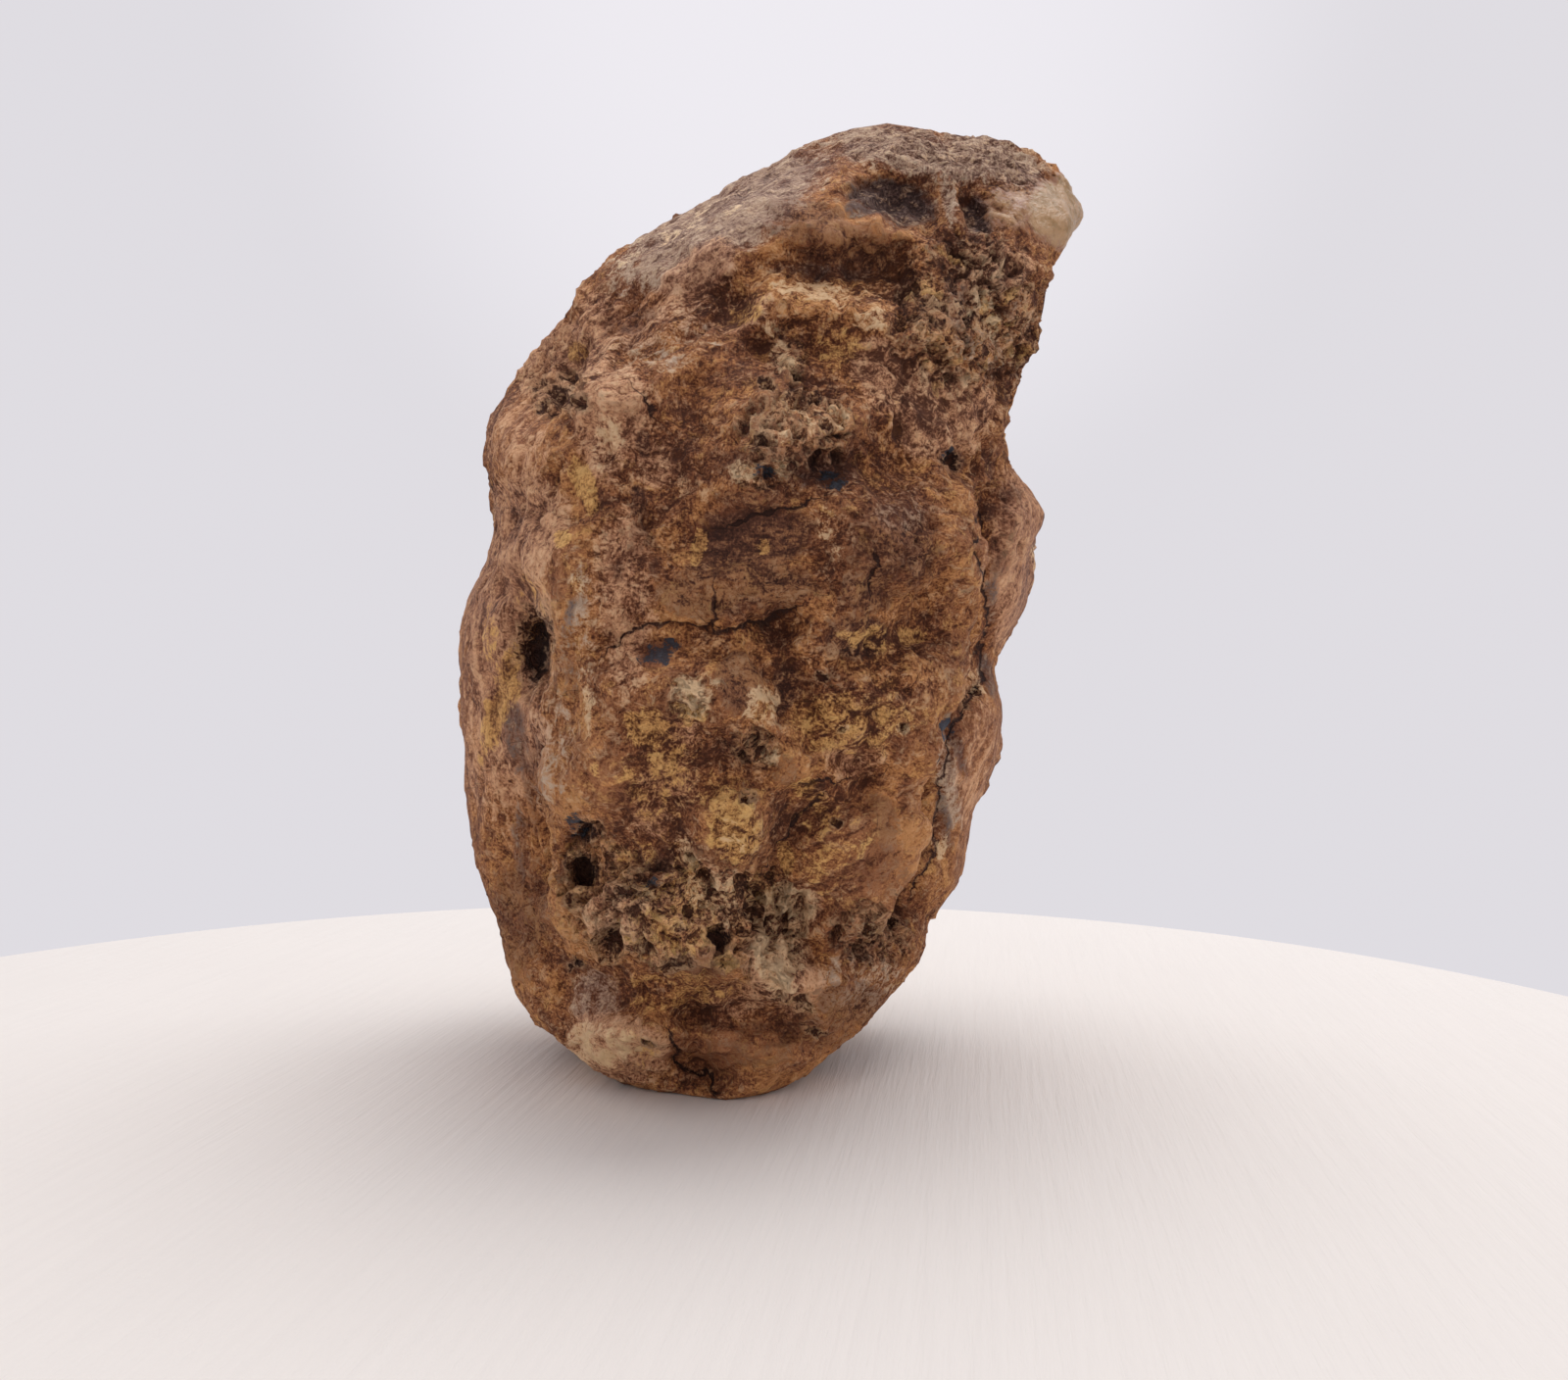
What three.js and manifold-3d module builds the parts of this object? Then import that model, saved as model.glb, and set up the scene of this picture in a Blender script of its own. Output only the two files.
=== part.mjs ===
// An unopened geode that stands on its narrow end: one closed solid, in millimetres, +Z up.
//
// The stone is laid out on a front elevation, drawn as an eye close in front of it sees it. A point of
// the drawing is [across, up], in millimetres on an upright plane through the middle of the stone: across
// runs to the right from the line of sight, up rises from the toe on which the stone rests. With a depth
// behind that plane, a drawing point has one real place, on its own line of sight.
//
// Sections are stretched between the left and right outlines, from the foot to the top. Ridges, lumps,
// grooves and hollows are raised on them and sunk into them, and the foot is ground flat where the stone
// rests. The origin is below the middle of the stone's box, on the ground.

import * as THREE from 'three';
import { mergeVertices } from 'three/addons/utils/BufferGeometryUtils.js';
import Module from 'manifold-3d';

// How the elevation is drawn.
const EYE_DISTANCE = 182; // from the eye to the plane of the drawing
const EYE_UP = 52.5; // height of the eye on the drawing
const TOE_DEPTH = -12; // the toe stands in front of the plane
const EYE_HEIGHT = EYE_UP * (1 + TOE_DEPTH / EYE_DISTANCE); // real height of the eye

// How finely the stone is faceted.
const COLUMNS = 86; // facets round each section
const RINGS = 58; // steps from the foot to the top
const OUTLINE_STEPS = 40; // per outline point, when its length is measured

// The outlines, from the foot to the top.
const LEFT_OUTLINE = [
  [-7.5, 0], [-14.8, 0.9], [-20.6, 2.1], [-27.2, 6.4], [-31.8, 10.6], [-33.6, 13.2], [-36.6, 21.6],
  [-39.5, 31.4], [-40.7, 41], [-41.1, 54], [-40.1, 63.5], [-37.8, 69], [-37, 76.5], [-38.6, 82.6],
  [-38, 87], [-35.6, 90.2], [-30.3, 96.8], [-27.2, 100.4], [-26.6, 103.4], [-22.8, 106.8], [-12.6, 113],
  [-1.9, 119.4], [6.2, 123.7], [13.2, 125.1],
];
const RIGHT_OUTLINE = [
  [-7.5, 0], [-2.4, 0.8], [3.5, 3.1], [8.4, 7], [14.2, 13.4], [17.4, 17.6], [18.8, 22.8], [22.3, 28],
  [24, 35], [26.7, 42], [27.5, 50], [26.7, 54.8], [30, 62.4], [31.2, 69.6], [33.4, 75.2], [32.4, 77.6],
  [28.5, 81.6], [27.4, 84.6], [29.2, 91], [32.9, 97], [34, 105], [38.2, 113.4], [36.4, 117.4],
  [29.4, 122.2], [21.6, 123.7], [13.2, 125.1],
];

// Each section's depth, at equal steps from the foot to the top.
const MIDDLE_DEPTH = [TOE_DEPTH, 3, 1, 0, 0, 0, 1, 2, 2, 2, 2];
const FRONT_BULGE = [1.3, 1.2, 1.04, 1.02, 1.04, 1.06, 1.02, 0.94, 0.8, 0.76, 0.76]; // by half its width
const BACK_BULGE = [1.5, 1.25, 1.1, 1.1, 1.1, 1.1, 1.02, 0.94, 0.84, 0.82, 0.8];
const WIDEST_SET_BACK = [0, -7, 3, 8, 8, 7, 6, 3, 0, 0, 0]; // of the outlines, behind the middle
const FRONT_FULLNESS = 2.15; // exponent of the sections: an ellipse has 2, a boxier one more
const BACK_FULLNESS = 2.4;
const EVENING = 0.055; // share of the outlines over which they are evened out for the sections
const KNOB_REACH = 0.7; // how far the outlines' knobs and notches run to the front and back, of its bulge
const POLE_CALM = 14; // sections narrower than this, from their middle, have less relief

// Ridges stand proud along a line, and grooves, whose rise is below zero, sink in.
const FRONT_RIDGES = [
  {
    what: 'brow under the top slab', reach: 7, rise: 5,
    line: [[-14, 104.5], [-4, 110], [4, 113.6], [11, 111]],
  },
  {
    what: 'groove under the brow', reach: 6, rise: -4.6,
    line: [[-20, 99.5], [-8, 104.5], [2, 106.4], [14, 106.6]],
  },
  { what: 'shoulder crest', reach: 7, rise: 3.6, line: [[-1.5, 104], [-8, 100], [-14, 96.5], [-20, 91]] },
  { what: 'second crest', reach: 5, rise: 2, line: [[-7, 94.5], [-18, 90.6]] },
  { what: 'ledge under the top', reach: 6, rise: 3.6, line: [[-1, 101.5], [6, 101.5], [13, 99]] },
  {
    what: 'left shoulder', reach: 9, rise: 3.4,
    line: [[-21, 90], [-24, 78], [-25, 64], [-24, 52], [-25, 42]],
  },
  {
    what: 'left groove', reach: 7, rise: -5,
    line: [[-30, 71], [-32, 58], [-35, 50], [-34.5, 34], [-33, 22]],
  },
  { what: 'groove over the left lobe', reach: 6, rise: -3, line: [[-36, 76], [-31, 74], [-27, 80]] },
  { what: 'right edge', reach: 8, rise: 3.6, line: [[18, 77], [23, 69], [25, 62], [24, 53], [16, 46]] },
  {
    what: 'right groove', reach: 6, rise: -4.6,
    line: [[29.5, 78], [28, 62], [26.4, 54], [21, 47], [20, 34], [17, 27]],
  },
  { what: 'lower right edge', reach: 7, rise: 2.6, line: [[16, 45], [18, 39], [15, 30], [10, 22]] },
  {
    what: 'bedding ledge', reach: 5, rise: 2.4,
    line: [[-22, 63], [-14, 63.5], [-6, 63.5], [0, 65], [9, 63], [20, 60]],
  },
  {
    what: 'bedding crack', reach: 4.4, rise: -2.4,
    line: [[-22, 58.6], [-13, 59], [-3, 59.4], [2, 60.6], [9, 57]],
  },
  { what: 'gully', reach: 5, rise: -3, line: [[-0.5, 60], [0.5, 54], [3, 48]] },
  { what: 'lower valley', reach: 7, rise: -4, line: [[9, 41], [3, 36], [-1, 29], [3, 20]] },
  { what: 'toe crack', reach: 5, rise: -3, line: [[-13, 11], [-13, 4], [-9, 2]] },
  {
    what: 'lower left ledge', reach: 6, rise: 3,
    line: [[-28, 25], [-22, 22], [-14, 20], [-4, 17], [6, 14]],
  },
  { what: 'groove under it', reach: 5, rise: -3, line: [[-30, 17], [-20, 14], [-10, 12.5], [2, 10]] },
];

// Lumps stand proud of the stone over an oval, and hollows, whose rise is below zero, sink in.
const FRONT_LUMPS = [
  { what: 'left upper lobe', at: [-34, 83], half: [9, 10], turn: 0, rise: 4.4 },
  { what: 'pitted hollow over it', at: [-28, 93], half: [8, 6.5], turn: 30, rise: -4 },
  { what: 'first hollow by the tip', at: [15, 115], half: [8.5, 5.6], turn: -20, rise: -5.5 },
  { what: 'second hollow by the tip', at: [25.4, 113], half: [5, 6], turn: 15, rise: -4 },
  { what: 'tip', at: [34, 113.4], half: [7, 8], turn: 20, rise: 3 },
  { what: 'crust boss', at: [1, 87.5], half: [14, 11], turn: -20, rise: 4.4 },
  { what: 'pits in the crust', at: [2.6, 89.5], half: [5, 4.4], turn: 0, rise: -2.4 },
  { what: 'hollow under the crust', at: [5, 80.4], half: [10, 5], turn: 5, rise: -4 },
  { what: 'right flank lump', at: [20, 97], half: [8, 9], turn: -20, rise: 3.6 },
  { what: 'right flank lump', at: [29, 105], half: [6, 7], turn: 0, rise: 3 },
  { what: 'right flank hollow', at: [26, 92], half: [6, 7], turn: 20, rise: -3.4 },
  { what: 'notch', at: [21.5, 82], half: [6, 5], turn: 30, rise: -4 },
  { what: 'smooth patch', at: [-3, 72.5], half: [14, 8], turn: 0, rise: -2.6 },
  { what: 'belly beside the patch', at: [12, 71], half: [11, 9], turn: 0, rise: 2.6 },
  { what: 'right boss', at: [15, 52.6], half: [12, 8], turn: 15, rise: 4.6 },
  { what: 'middle left boss', at: [-13, 52], half: [11, 7], turn: -5, rise: 4 },
  { what: 'dark hollow', at: [-4.4, 43.6], half: [6, 5], turn: 0, rise: -3 },
  { what: 'teardrop hole', at: [-31.6, 57.6], half: [4.4, 7], turn: -8, rise: -5.5 },
  { what: 'rear left lobe', at: [-37, 47], half: [7, 18], turn: 0, rise: 3 },
  { what: 'left cheek', at: [-21, 42], half: [7, 10], turn: -5, rise: 3 },
  { what: 'pale lobe', at: [-6.4, 34], half: [9, 7], turn: -20, rise: 4.4 },
  { what: 'deep hole', at: [-25, 31], half: [5, 7], turn: 5, rise: -5.5 },
  { what: 'ring lump', at: [-17, 27], half: [6.5, 6], turn: 0, rise: 3 },
  { what: 'ring hole', at: [-22, 19.6], half: [4.4, 4.4], turn: 0, rise: -3 },
  { what: 'round hole', at: [-9, 20.6], half: [5, 4.6], turn: 0, rise: -4 },
  { what: 'honeycomb', at: [-2.4, 25.4], half: [5.5, 5], turn: 0, rise: -3.4 },
  { what: 'crystal crust', at: [0, 16.6], half: [6, 7.5], turn: 0, rise: 3 },
  { what: 'lower right lobe', at: [11, 31], half: [9, 12], turn: -15, rise: 3 },
  { what: 'rimmed hole', at: [11, 20.6], half: [5, 4.4], turn: 0, rise: -3 },
  { what: 'orange bulge', at: [-20, 7.6], half: [9, 6], turn: -10, rise: 4.4 },
  { what: 'toe lobe', at: [-2.4, 6], half: [11, 6], turn: 5, rise: 2.6 },
];

// The back has ridges and lumps of its own.
const BACK_RIDGES = [
  { what: 'spine', reach: 11, rise: 4.4, line: [[16, 118], [8, 98], [-2, 80], [-4, 60], [4, 40]] },
  { what: 'upper furrow', reach: 8, rise: -4, line: [[-26, 96], [-14, 86], [-12, 70], [-22, 58]] },
  { what: 'lower furrow', reach: 8, rise: -4, line: [[22, 66], [12, 54], [10, 38], [-2, 26]] },
  { what: 'cross ledge', reach: 7, rise: 3.2, line: [[-34, 48], [-20, 44], [-8, 46], [6, 50]] },
];
const BACK_LUMPS = [
  { what: 'shoulder', at: [-24, 80], half: [14, 14], turn: 0, rise: 4.4 },
  { what: 'knob', at: [20, 72], half: [14, 13], turn: 0, rise: 2.2 },
  { what: 'hollow', at: [12, 88], half: [9, 7], turn: 30, rise: -3.2 },
  { what: 'haunch', at: [-22, 34], half: [14, 16], turn: 0, rise: 4.6 },
  { what: 'hollow', at: [-6, 34], half: [7, 9], turn: 0, rise: -4.2 },
  { what: 'heel lump', at: [8, 24], half: [10, 9], turn: 0, rise: 3.8 },
  { what: 'hollow under the tip', at: [26, 104], half: [8, 9], turn: 0, rise: -4.2 },
];

// Lumpiness over the whole stone: the size of the lumps, and how far they rise or sink.
const LUMPINESS = [
  { size: 24, rise: 3.6 },
  { size: 12, rise: 2.8 },
  { size: 7, rise: 1.8 },
];

const { clamp, degToRad, lerp, smootherstep, smoothstep } = THREE.MathUtils;

/** A smooth line through drawing points: takes the share of its length from the foot, 0 to 1. */
function outline(points) {
  const curve = new THREE.CatmullRomCurve3(points.map(([across, up]) => new THREE.Vector3(across, up, 0)));
  curve.arcLengthDivisions = OUTLINE_STEPS * points.length;
  return (share) => curve.getPointAt(share);
}

/** A line through drawing points, evened out over a stretch either side of each share. */
function evened(lineAt, share) {
  const reach = Math.min(EVENING, share, 1 - share);
  const sum = new THREE.Vector3();
  for (const step of [-1, -0.5, 0, 0.5, 1]) sum.add(lineAt(share + step * reach));
  return sum.divideScalar(5);
}

/** Smooth steps through values that are spread evenly from the foot to the top. */
function profile(values) {
  const places = values.map((value, index) => index / (values.length - 1));
  const curve = new THREE.CubicInterpolant(places, values, 1);
  return (share) => curve.evaluate(share)[0];
}

/** Whole-number hash of a lattice point, as a value from -1 to 1. */
function latticeValue(i, j, k) {
  let hash = Math.imul(i, 374761393) ^ Math.imul(j, 668265263) ^ Math.imul(k, 2147483647);
  hash = Math.imul(hash ^ (hash >>> 13), 1274126177);
  hash ^= hash >>> 16;
  return (hash >>> 0) / 2147483647.5 - 1;
}

/** Smooth noise from -1 to 1: lattice values blended over each cell. */
function noise(x, y, z) {
  const [i, j, k] = [Math.floor(x), Math.floor(y), Math.floor(z)];
  const [u, v, w] = [x - i, y - j, z - k].map((part) => smootherstep(part, 0, 1));
  const row = (dj, dk) => lerp(latticeValue(i, j + dj, k + dk), latticeValue(i + 1, j + dj, k + dk), u);
  return lerp(lerp(row(0, 0), row(1, 0), v), lerp(row(0, 1), row(1, 1), v), w);
}

/** A round hump's height at a share of its reach: 1 in the middle, 0 from the edge on. */
const hump = (share) => (share < 1 ? (1 - share * share) ** 2 : 0);

/** Distance from a drawing point to a line of drawing points. */
function distanceToLine(across, up, line) {
  let nearest = Infinity;
  for (let index = 1; index < line.length; index += 1) {
    const [[fromAcross, fromUp], [toAcross, toUp]] = [line[index - 1], line[index]];
    const [runAcross, runUp] = [toAcross - fromAcross, toUp - fromUp];
    const along = (across - fromAcross) * runAcross + (up - fromUp) * runUp;
    const share = clamp(along / (runAcross ** 2 + runUp ** 2), 0, 1);
    const gap = Math.hypot(across - fromAcross - share * runAcross, up - fromUp - share * runUp);
    nearest = Math.min(nearest, gap);
  }
  return nearest;
}

/** How far the ridges and lumps stand proud at a drawing point. */
function relief(across, up, ridges, lumps) {
  let rise = 0;
  for (const ridge of ridges) {
    rise += ridge.rise * hump(distanceToLine(across, up, ridge.line) / ridge.reach);
  }
  for (const lump of lumps) {
    const [right, above] = [across - lump.at[0], up - lump.at[1]];
    const [cos, sin] = [Math.cos(degToRad(lump.turn)), Math.sin(degToRad(lump.turn))];
    const share = Math.hypot(
      (right * cos + above * sin) / lump.half[0],
      (above * cos - right * sin) / lump.half[1],
    );
    rise += lump.rise * hump(share);
  }
  return rise;
}

/** The real place of a drawing point at a depth. */
function place(across, up, depth) {
  const scale = 1 + depth / EYE_DISTANCE;
  return new THREE.Vector3(across * scale, depth, EYE_HEIGHT + (up - EYE_UP) * scale);
}

const leftAt = outline(LEFT_OUTLINE);
const rightAt = outline(RIGHT_OUTLINE);
const middleDepthAt = profile(MIDDLE_DEPTH);
const frontBulgeAt = profile(FRONT_BULGE);
const backBulgeAt = profile(BACK_BULGE);
const setBackAt = profile(WIDEST_SET_BACK);

/**
 * A point of the stone, at a turn round its section, which starts at the right and goes by way of the
 * front, and at a share of the way from the foot to the top.
 */
function stonePoint(turn, share) {
  const [left, right] = [evened(leftAt, share), evened(rightAt, share)];
  const middle = left.clone().add(right).multiplyScalar(0.5);
  const half = right.clone().sub(left).multiplyScalar(0.5);
  const [cos, sin] = [Math.cos(turn), Math.sin(turn)];
  const isFront = sin > 0;
  const power = 2 / (isFront ? FRONT_FULLNESS : BACK_FULLNESS);
  const aside = Math.sign(cos) * Math.abs(cos) ** power;
  const forward = Math.sign(sin) * Math.abs(sin) ** power;
  const bulge = half.length() * (isFront ? frontBulgeAt(share) : backBulgeAt(share));

  const knob = aside > 0 ? rightAt(share).sub(right) : leftAt(share).sub(left);
  knob.multiplyScalar(hump(Math.abs(forward) / KNOB_REACH));

  const across = middle.x + aside * half.x + knob.x;
  const up = middle.y + aside * half.y + knob.y;
  const depth = middleDepthAt(share) + setBackAt(share) * aside * aside - forward * bulge;

  const [ridges, lumps] = isFront ? [FRONT_RIDGES, FRONT_LUMPS] : [BACK_RIDGES, BACK_LUMPS];
  const facing = smoothstep(Math.abs(forward), 0.1, 0.5); // the outlines stay as they are drawn
  let rise = relief(across, up, ridges, lumps) * facing;
  const base = place(across, up, depth);
  for (const { size, rise: most } of LUMPINESS) {
    rise += most * (0.3 + 0.7 * facing) * noise(base.x / size, base.y / size, base.z / size);
  }
  rise *= smoothstep(half.length(), 0, POLE_CALM);
  return place(across + rise * aside, up, depth - rise * forward);
}

/** Closed grid of the stone, from one pole to the other. */
function stoneGeometry() {
  const points = [stonePoint(0, 0)];
  for (let ring = 1; ring < RINGS; ring += 1) {
    for (let column = 0; column < COLUMNS; column += 1) {
      points.push(stonePoint((2 * Math.PI * column) / COLUMNS, ring / RINGS));
    }
  }
  points.push(stonePoint(0, 1));

  const top = points.length - 1;
  const corner = (ring, column) => 1 + (ring - 1) * COLUMNS + (column % COLUMNS);
  const faces = [];
  for (let column = 0; column < COLUMNS; column += 1) {
    faces.push(0, corner(1, column), corner(1, column + 1));
    for (let ring = 1; ring < RINGS - 1; ring += 1) {
      const [a, b] = [corner(ring, column), corner(ring, column + 1)];
      const [c, d] = [corner(ring + 1, column), corner(ring + 1, column + 1)];
      faces.push(a, c, b, b, c, d);
    }
    faces.push(corner(RINGS - 1, column), top, corner(RINGS - 1, column + 1));
  }
  const geometry = new THREE.BufferGeometry().setFromPoints(points);
  return geometry.setIndex(faces);
}

const wasm = await Module();
wasm.setup();

/** The solid of a closed geometry whose vertices are shared. */
function solidOf(geometry) {
  return new wasm.Manifold(new wasm.Mesh({
    numProp: 3,
    vertProperties: new Float32Array(geometry.getAttribute('position').array),
    triVerts: new Uint32Array(geometry.getIndex().array),
  }));
}

/** The ground: a block whose flat top is at height zero. */
function groundGeometry() {
  const [width, thickness] = [400, 60];
  const block = new THREE.BoxGeometry(width, width, thickness).translate(0, 0, -thickness / 2);
  block.deleteAttribute('normal');
  block.deleteAttribute('uv');
  return mergeVertices(block);
}

/** The whole stone, ground flat at the foot, with the origin below the middle of its box. */
function geodeGeometry() {
  const mesh = solidOf(stoneGeometry()).subtract(solidOf(groundGeometry())).getMesh();
  const geometry = new THREE.BufferGeometry();
  geometry.setAttribute('position', new THREE.BufferAttribute(mesh.vertProperties, mesh.numProp));
  geometry.setIndex(new THREE.BufferAttribute(mesh.triVerts, 1));
  geometry.computeBoundingBox();
  const middle = geometry.boundingBox.getCenter(new THREE.Vector3());
  geometry.translate(-middle.x, -middle.y, 0);
  geometry.computeVertexNormals();
  return geometry;
}

const rock = new THREE.MeshStandardMaterial({ color: '#85593a', roughness: 0.85, metalness: 0 });
const geode = new THREE.Mesh(geodeGeometry(), rock);
geode.name = 'geode';

const part = new THREE.Group();
part.add(geode);

export default part;
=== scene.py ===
"""An unopened geode that stands on its narrow end, on a plain pale round floor.

The stone's skin is one surface of two parameters: a turn round the stone and a share of the way from its
foot to its top. Sections are stretched between the outlines of a front elevation, ridges, lumps and holes
are raised on them and sunk into them, and each point is carried along its line of sight to its real place.
Lengths on the elevation are in millimetres, and the skin's mesh is in metres.
"""

import functools
import math

import bpy
import numpy as np
from bpy.props import FloatProperty, FloatVectorProperty, IntProperty, PointerProperty
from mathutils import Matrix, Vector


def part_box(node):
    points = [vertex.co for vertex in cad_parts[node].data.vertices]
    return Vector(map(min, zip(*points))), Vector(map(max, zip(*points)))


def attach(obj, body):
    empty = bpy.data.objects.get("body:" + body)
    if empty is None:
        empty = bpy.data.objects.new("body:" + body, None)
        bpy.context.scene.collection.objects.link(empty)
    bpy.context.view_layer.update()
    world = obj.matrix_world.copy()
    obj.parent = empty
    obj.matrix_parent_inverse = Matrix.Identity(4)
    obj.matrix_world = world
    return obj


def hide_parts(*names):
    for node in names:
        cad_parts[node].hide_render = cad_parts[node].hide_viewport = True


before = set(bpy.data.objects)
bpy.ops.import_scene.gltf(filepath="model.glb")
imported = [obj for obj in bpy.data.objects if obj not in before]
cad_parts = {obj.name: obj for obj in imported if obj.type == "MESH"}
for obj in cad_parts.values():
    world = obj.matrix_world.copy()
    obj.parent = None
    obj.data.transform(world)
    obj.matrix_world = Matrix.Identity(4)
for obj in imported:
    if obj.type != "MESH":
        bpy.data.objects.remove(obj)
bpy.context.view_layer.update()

bl_info = {
    "name": "Unopened Geode",
    "version": (1, 0, 0),
    "blender": (4, 5, 0),
    "location": "View3D > Sidebar > Geode",
    "description": "Builds a knobbly unopened geode with a milky quartz tip, and a pale floor to show it on",
    "category": "Add Mesh",
}

MM = 0.001

# How the elevation is drawn: an eye stands close in front of an upright plane through the stone.
EYE_DISTANCE = 182.0
EYE_UP = 52.5
TOE_DEPTH = -12.0  # the foot stands this far in front of that plane
EYE_HEIGHT = EYE_UP * (1 + TOE_DEPTH / EYE_DISTANCE)
IMAGE_WIDTH = 1600  # of the camera's image, in pixels
FOCAL_LENGTH = 1450.0  # in pixels of that image

# Outlines of the elevation, [across, up], from the foot to the top.
LEFT_OUTLINE = [
    (-7.5, 0), (-14.8, 0.9), (-20.6, 2.1), (-27.2, 6.4), (-31.8, 10.6), (-33.4, 13.2), (-35.8, 21.6),
    (-39.1, 31.4), (-40.6, 41), (-41.1, 54), (-40.1, 63.5), (-37.8, 69), (-37.2, 76.5), (-39, 82.6),
    (-38.6, 87), (-36.2, 90.2), (-30, 96.8), (-26.4, 100.4), (-25.4, 103.6), (-22.2, 107.2), (-13.2, 113.7),
    (-2.6, 119.7), (5.8, 123.7), (13.2, 125.1),
]
RIGHT_OUTLINE = [
    (-7.5, 0), (-2.4, 0.8), (3.5, 3.1), (8.4, 7), (14.2, 13.4), (17.4, 17.6), (18.8, 22.8), (22.3, 28),
    (24, 35), (26.7, 42), (27.5, 50), (26.4, 54.8), (29.6, 62.4), (31.2, 69.6), (34, 75.2), (32.4, 77.6),
    (28.2, 81.6), (26.8, 84.6), (28.2, 91), (31.2, 97), (31.8, 105), (38.4, 113.4), (36.8, 117.4),
    (29.4, 122.2), (21.6, 123.7), (13.2, 125.1),
]

# Each section's depth, at equal steps from the foot to the top.
MIDDLE_DEPTH = [TOE_DEPTH, 3, 1, 0, 0, 0, 1, 2, 2, 2, 2]
FRONT_BULGE = [1.3, 1.2, 1.04, 1.02, 1.04, 1.06, 1.02, 0.94, 0.8, 0.76, 0.76]  # by half its width
BACK_BULGE = [1.5, 1.25, 1.1, 1.1, 1.1, 1.1, 1.02, 0.94, 0.84, 0.82, 0.8]
WIDEST_SET_BACK = [0, -7, 3, 8, 8, 7, 6, 3, 0, 0, 0]  # of the outlines, behind the middle
FRONT_FULLNESS = 2.15  # exponent of the sections: an ellipse has 2, a boxier one more
BACK_FULLNESS = 2.4
EVENING = 0.055  # share of the outlines over which they are evened out for the sections
KNOB_REACH = 0.7  # how far the outlines' knobs and notches run to the front and back, of its bulge
POLE_CALM = 14.0  # sections narrower than this, from their middle, have less relief

# Ridges stand proud along a line, and grooves sink in: reach, rise, points of the line.
FRONT_RIDGES = {
    "edge of the top slab": (6, 2.4, [(-8, 110), (-5, 111.5), (2, 115), (8, 117)]),
    "groove under the brow": (5, -4, [(-8.4, 101.6), (-4, 103.8), (4, 105.6), (14, 106.4)]),
    "shoulder crest": (7, 3.6, [(-1.5, 104), (-8, 100), (-14, 96.5), (-20, 91)]),
    "second crest": (5, 2, [(-7, 94.5), (-18, 90.6)]),
    "ledge under the top": (6, 3.6, [(-1, 101.5), (6, 101.5), (13, 99)]),
    "left shoulder": (9, 3.4, [(-21, 90), (-24, 78), (-25, 64), (-24, 52), (-25, 42)]),
    "left groove": (6.5, -4.6, [(-31.4, 64), (-32, 58), (-35, 50), (-34.5, 34), (-33, 22)]),
    "right edge": (6, 4, [(19, 77), (21.6, 70), (22, 61.5), (20.4, 52), (15.8, 44)]),
    "right groove": (4.4, -8, [(26.6, 75), (26.4, 70), (26.2, 62), (24.8, 54), (21.4, 47.5), (20, 41),
                             (19.6, 33), (17.8, 25)]),
    "lower right edge": (6, 3, [(16.6, 44), (16.4, 36), (14.6, 28), (10, 22)]),
    "bedding ledge": (6, 0.9, [(-22, 63), (-14, 63.5), (-6, 63.5), (0, 65), (9, 63), (20, 60)]),
    "bedding crack": (3, -0.7, [(-22, 58.6), (-13, 59), (-3, 59.4), (2, 60.6), (9, 57)]),
    "gully": (5, -3, [(-0.5, 60), (0.5, 54), (3, 48)]),
    "lower valley": (7, -4, [(9, 41), (3, 36), (-1, 29), (3, 20)]),
    "toe crack": (5, -3, [(-13, 11), (-13, 4), (-9, 2)]),
    "lower left ledge": (6, 3, [(-28, 25), (-22, 22), (-14, 20), (-4, 17), (6, 14)]),
    "groove under it": (5, -3, [(-30, 17), (-20, 14), (-10, 12.5), (2, 10)]),
}
BACK_RIDGES = {
    "spine": (11, 4.4, [(16, 118), (8, 98), (-2, 80), (-4, 60), (4, 40)]),
    "upper furrow": (8, -4, [(-26, 96), (-14, 86), (-12, 70), (-22, 58)]),
    "lower furrow": (8, -4, [(22, 66), (12, 54), (10, 38), (-2, 26)]),
    "cross ledge": (7, 3.2, [(-34, 48), (-20, 44), (-8, 46), (6, 50)]),
}

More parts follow.
